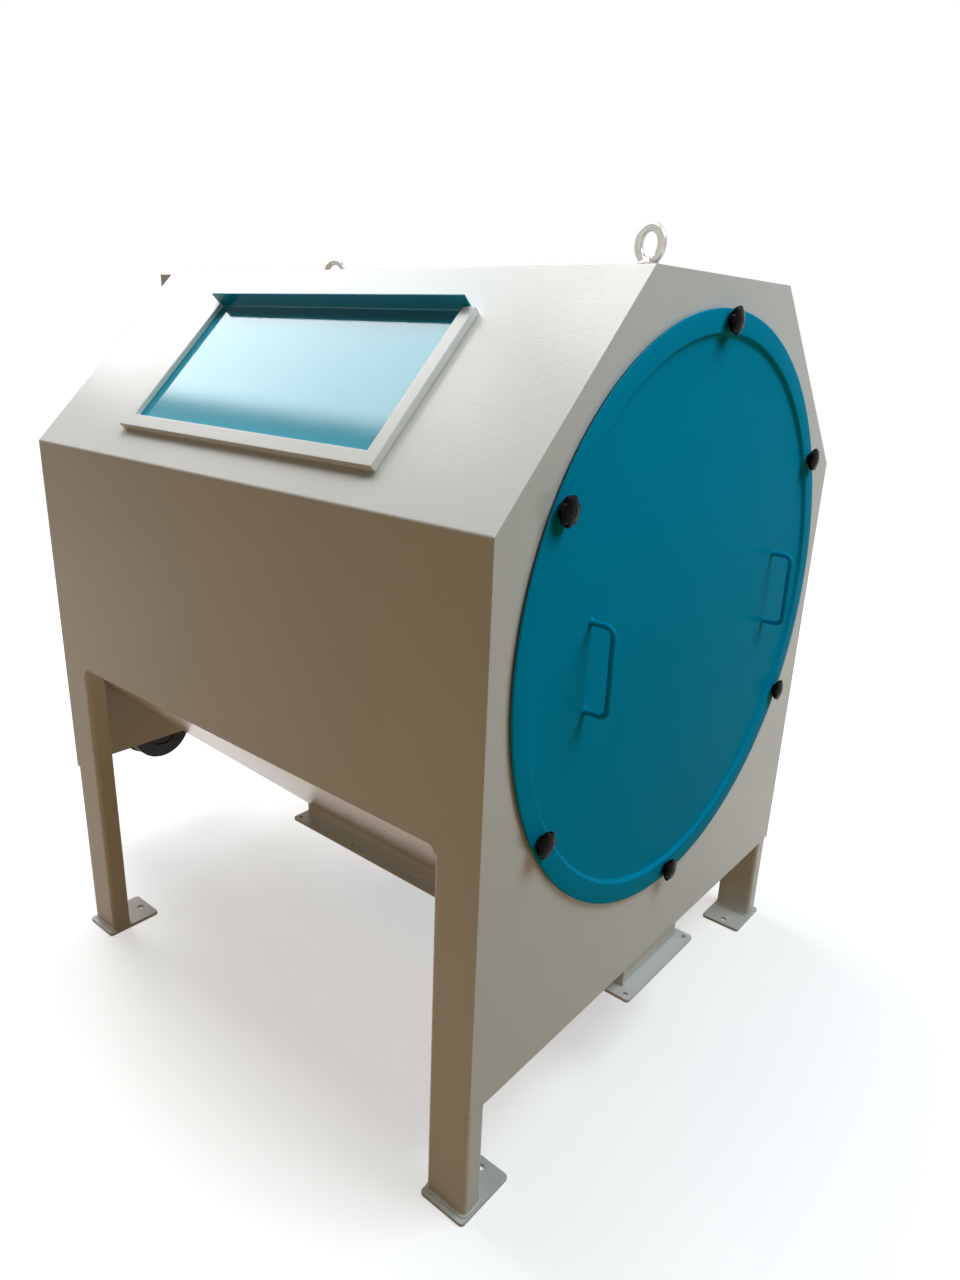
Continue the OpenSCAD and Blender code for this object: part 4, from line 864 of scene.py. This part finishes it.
def rows_of_tufts(nodes, given):
    """Points in straight rows on the brush board, and the turn that aims a tuft at the drum."""
    index = nodes.node("GeometryNodeInputIndex")
    line = whole_part(index / given["Each row"])
    step = index - line * given["Each row"]
    off = (line - (given["Lines"] - 1) * 0.5) * given["Line gap"]
    place = nodes.node("ShaderNodeCombineXYZ", None, {
        0: off * BRUSH_WAY.z + BRUSH_WAY.x * BRUSH_ROOT_R,
        1: (step + line % 2 * 0.5) * given["Step"] - 0.456,
        2: off * -BRUSH_WAY.x + (DRUM_Z + BRUSH_WAY.z * BRUSH_ROOT_R)})
    count = given["Lines"] * given["Each row"]
    line_of_points = nodes.node("GeometryNodePoints", None, {"Count": count})
    points = nodes.node("GeometryNodeSetPosition", None, {"Geometry": line_of_points, "Position": place})
    spin = nodes.node("FunctionNodeRandomValue", None, {2: 0.0, 3: 2 * math.pi, "Seed": 4}, out=1)
    lean = math.atan2(BRUSH_WAY.z, -BRUSH_WAY.x)
    return points, nodes.node("ShaderNodeCombineXYZ", None, {0: spin, 1: lean})


def brush():
    inputs = {"Lines": 3, "Each row": 90, "Line gap": 0.0105, "Step": 0.011}
    mesh = repeated("bristle_tufts", tuft(), rows_of_tufts, inputs, "bristles")
    piece("bristle_tufts", mesh, "casing", "bristles", ["brush_bristles"], 60)


brush()

# Machine parts behind and inside the casing
for node, body, slot, width in [
        ("bearing_housing", "casing", "machine_paint", 0.0015),
        ("bearing_caps", "casing", "machine_paint", 0.001),
        ("housing_bolts", "casing", "zinc_plate", 0.0007),
        ("motor_plate", "casing", "machine_paint", 0.0012),
        ("gearbox", "casing", "machine_paint", 0.004),
        ("motor", "casing", "machine_paint", 0.0008),
        ("brush_board", "casing", "brush_back", 0.0015),
        ("drum_spider", "drum", "machine_paint", 0.001),
        ("drum_hub", "drum", "machine_paint", 0.0015),
        ("drum_shaft", "drum", "bare_steel", 0.001),
        ("driven_pulley", "drum", "pulley_iron", 0.0008),
        ("drive_pulley", "drive", "pulley_iron", 0.0006),
        ("output_shaft", "drive", "bare_steel", 0.0008)]:
    rounded(node, body, slot, width)

# Solids that keep their own shape get their finish
slot_of = {s["node"]: s["material_slot"] for s in frame["record"]["subparts"]}
for name, obj in frame["nodes"].items():
    for material_slot in obj.material_slots:
        material_slot.material = FINISHES[slot_of[name]]


def to_viewer(tree):
    """1 for the rays that show the surroundings: the camera's, mirrored ones and those through glass."""
    rays = [tree.node("ShaderNodeLightPath", out=out)
            for out in ("Is Camera Ray", "Is Glossy Ray", "Is Transmission Ray")]
    return rays[0].math("MAXIMUM", rays[0].math("MAXIMUM", rays[0], rays[1]), rays[2])


def surroundings():
    """White floor with the object's shadow, and a white sky. Both send dim, warm light back."""
    bm = bmesh.new()
    bmesh.ops.create_grid(bm, x_segments=1, y_segments=1, size=60)
    floor = bpy.data.objects.new("floor", to_mesh("floor", bm, outward=False))
    bpy.context.scene.collection.objects.link(floor)

    paint = bpy.data.materials.new("floor_white")
    paint.use_nodes = True
    paint.node_tree.nodes.clear()
    tree = NodeTree(paint.node_tree)
    place = tree.node("ShaderNodeTexCoord", out="Object")
    away = tree.node("ShaderNodeVectorMath", {"operation": "LENGTH"}, {0: place}, out="Value")
    warm = tree.node("ShaderNodeBsdfDiffuse", None, {"Color": FLOOR_BOUNCE})
    white = tree.node("ShaderNodeBsdfDiffuse", None, {"Color": (0.8, 0.8, 0.8, 1)})
    glow = tree.node("ShaderNodeEmission", None, {"Strength": 0.55 + 0.45 * away.above(3, 2.2)})
    shown = tree.node("ShaderNodeAddShader", None, {0: white, 1: glow})
    both = tree.node("ShaderNodeMixShader", None, {0: to_viewer(tree), 1: warm, 2: shown})
    tree.node("ShaderNodeOutputMaterial", None, {"Surface": both}, out=None)
    floor.data.materials.append(paint)

    world = bpy.data.worlds.new("studio")
    bpy.context.scene.world = world
    world.use_nodes = True
    world.node_tree.nodes.clear()
    tree = NodeTree(world.node_tree)
    dim = tree.node("ShaderNodeBackground", None, {"Color": (1, 0.94, 0.86, 1), "Strength": 0.04})
    white = tree.node("ShaderNodeBackground", None, {"Color": (1, 1, 1, 1), "Strength": 1})
    both = tree.node("ShaderNodeMixShader", None, {0: to_viewer(tree), 1: dim, 2: white})
    tree.node("ShaderNodeOutputWorld", None, {"Surface": both}, out=None)


def softbox(name, way, shift, size, radiance, color, distance=4.2):
    """A rectangular lamp aimed at the machine. The shift moves it sideways and upwards in its own plane."""
    way = Vector(way).normalized()
    sideways = Vector((0, 0, 1)).cross(way).normalized()
    data = bpy.data.lights.new(name, "AREA")
    data.shape = "RECTANGLE"
    data.size, data.size_y = size
    data.energy = radiance * math.pi * size[0] * size[1]
    data.color = color
    lamp = bpy.data.objects.new(name, data)
    lamp.matrix_world = Matrix((sideways, way.cross(sideways), way)).transposed().to_4x4()
    lamp.matrix_world.translation = (Vector(LAMP_TARGET) + way * distance + sideways * shift[0]
                                     + way.cross(sideways) * shift[1])
    bpy.context.scene.collection.objects.link(lamp)


surroundings()
softbox("overhead_lamp", (0.1, 0.2, 0.97), (0, 0), (2.0, 2.4), 8.3, (1, 0.99, 0.97))
softbox("rear_softbox", (0.16, 0.74, 0.65), (0.41, 0.05), (1.7, 2.7), 5.3, (0.93, 0.98, 1))
softbox("front_fill", (0.3, -0.6, 0.74), (0, 0), (2.6, 2.4), 5.1, (0.79, 0.94, 1))
softbox("left_bounce", (-0.9, -0.4, 0.15), (0, 0), (3.0, 2.0), 0.32, (1, 0.74, 0.38))
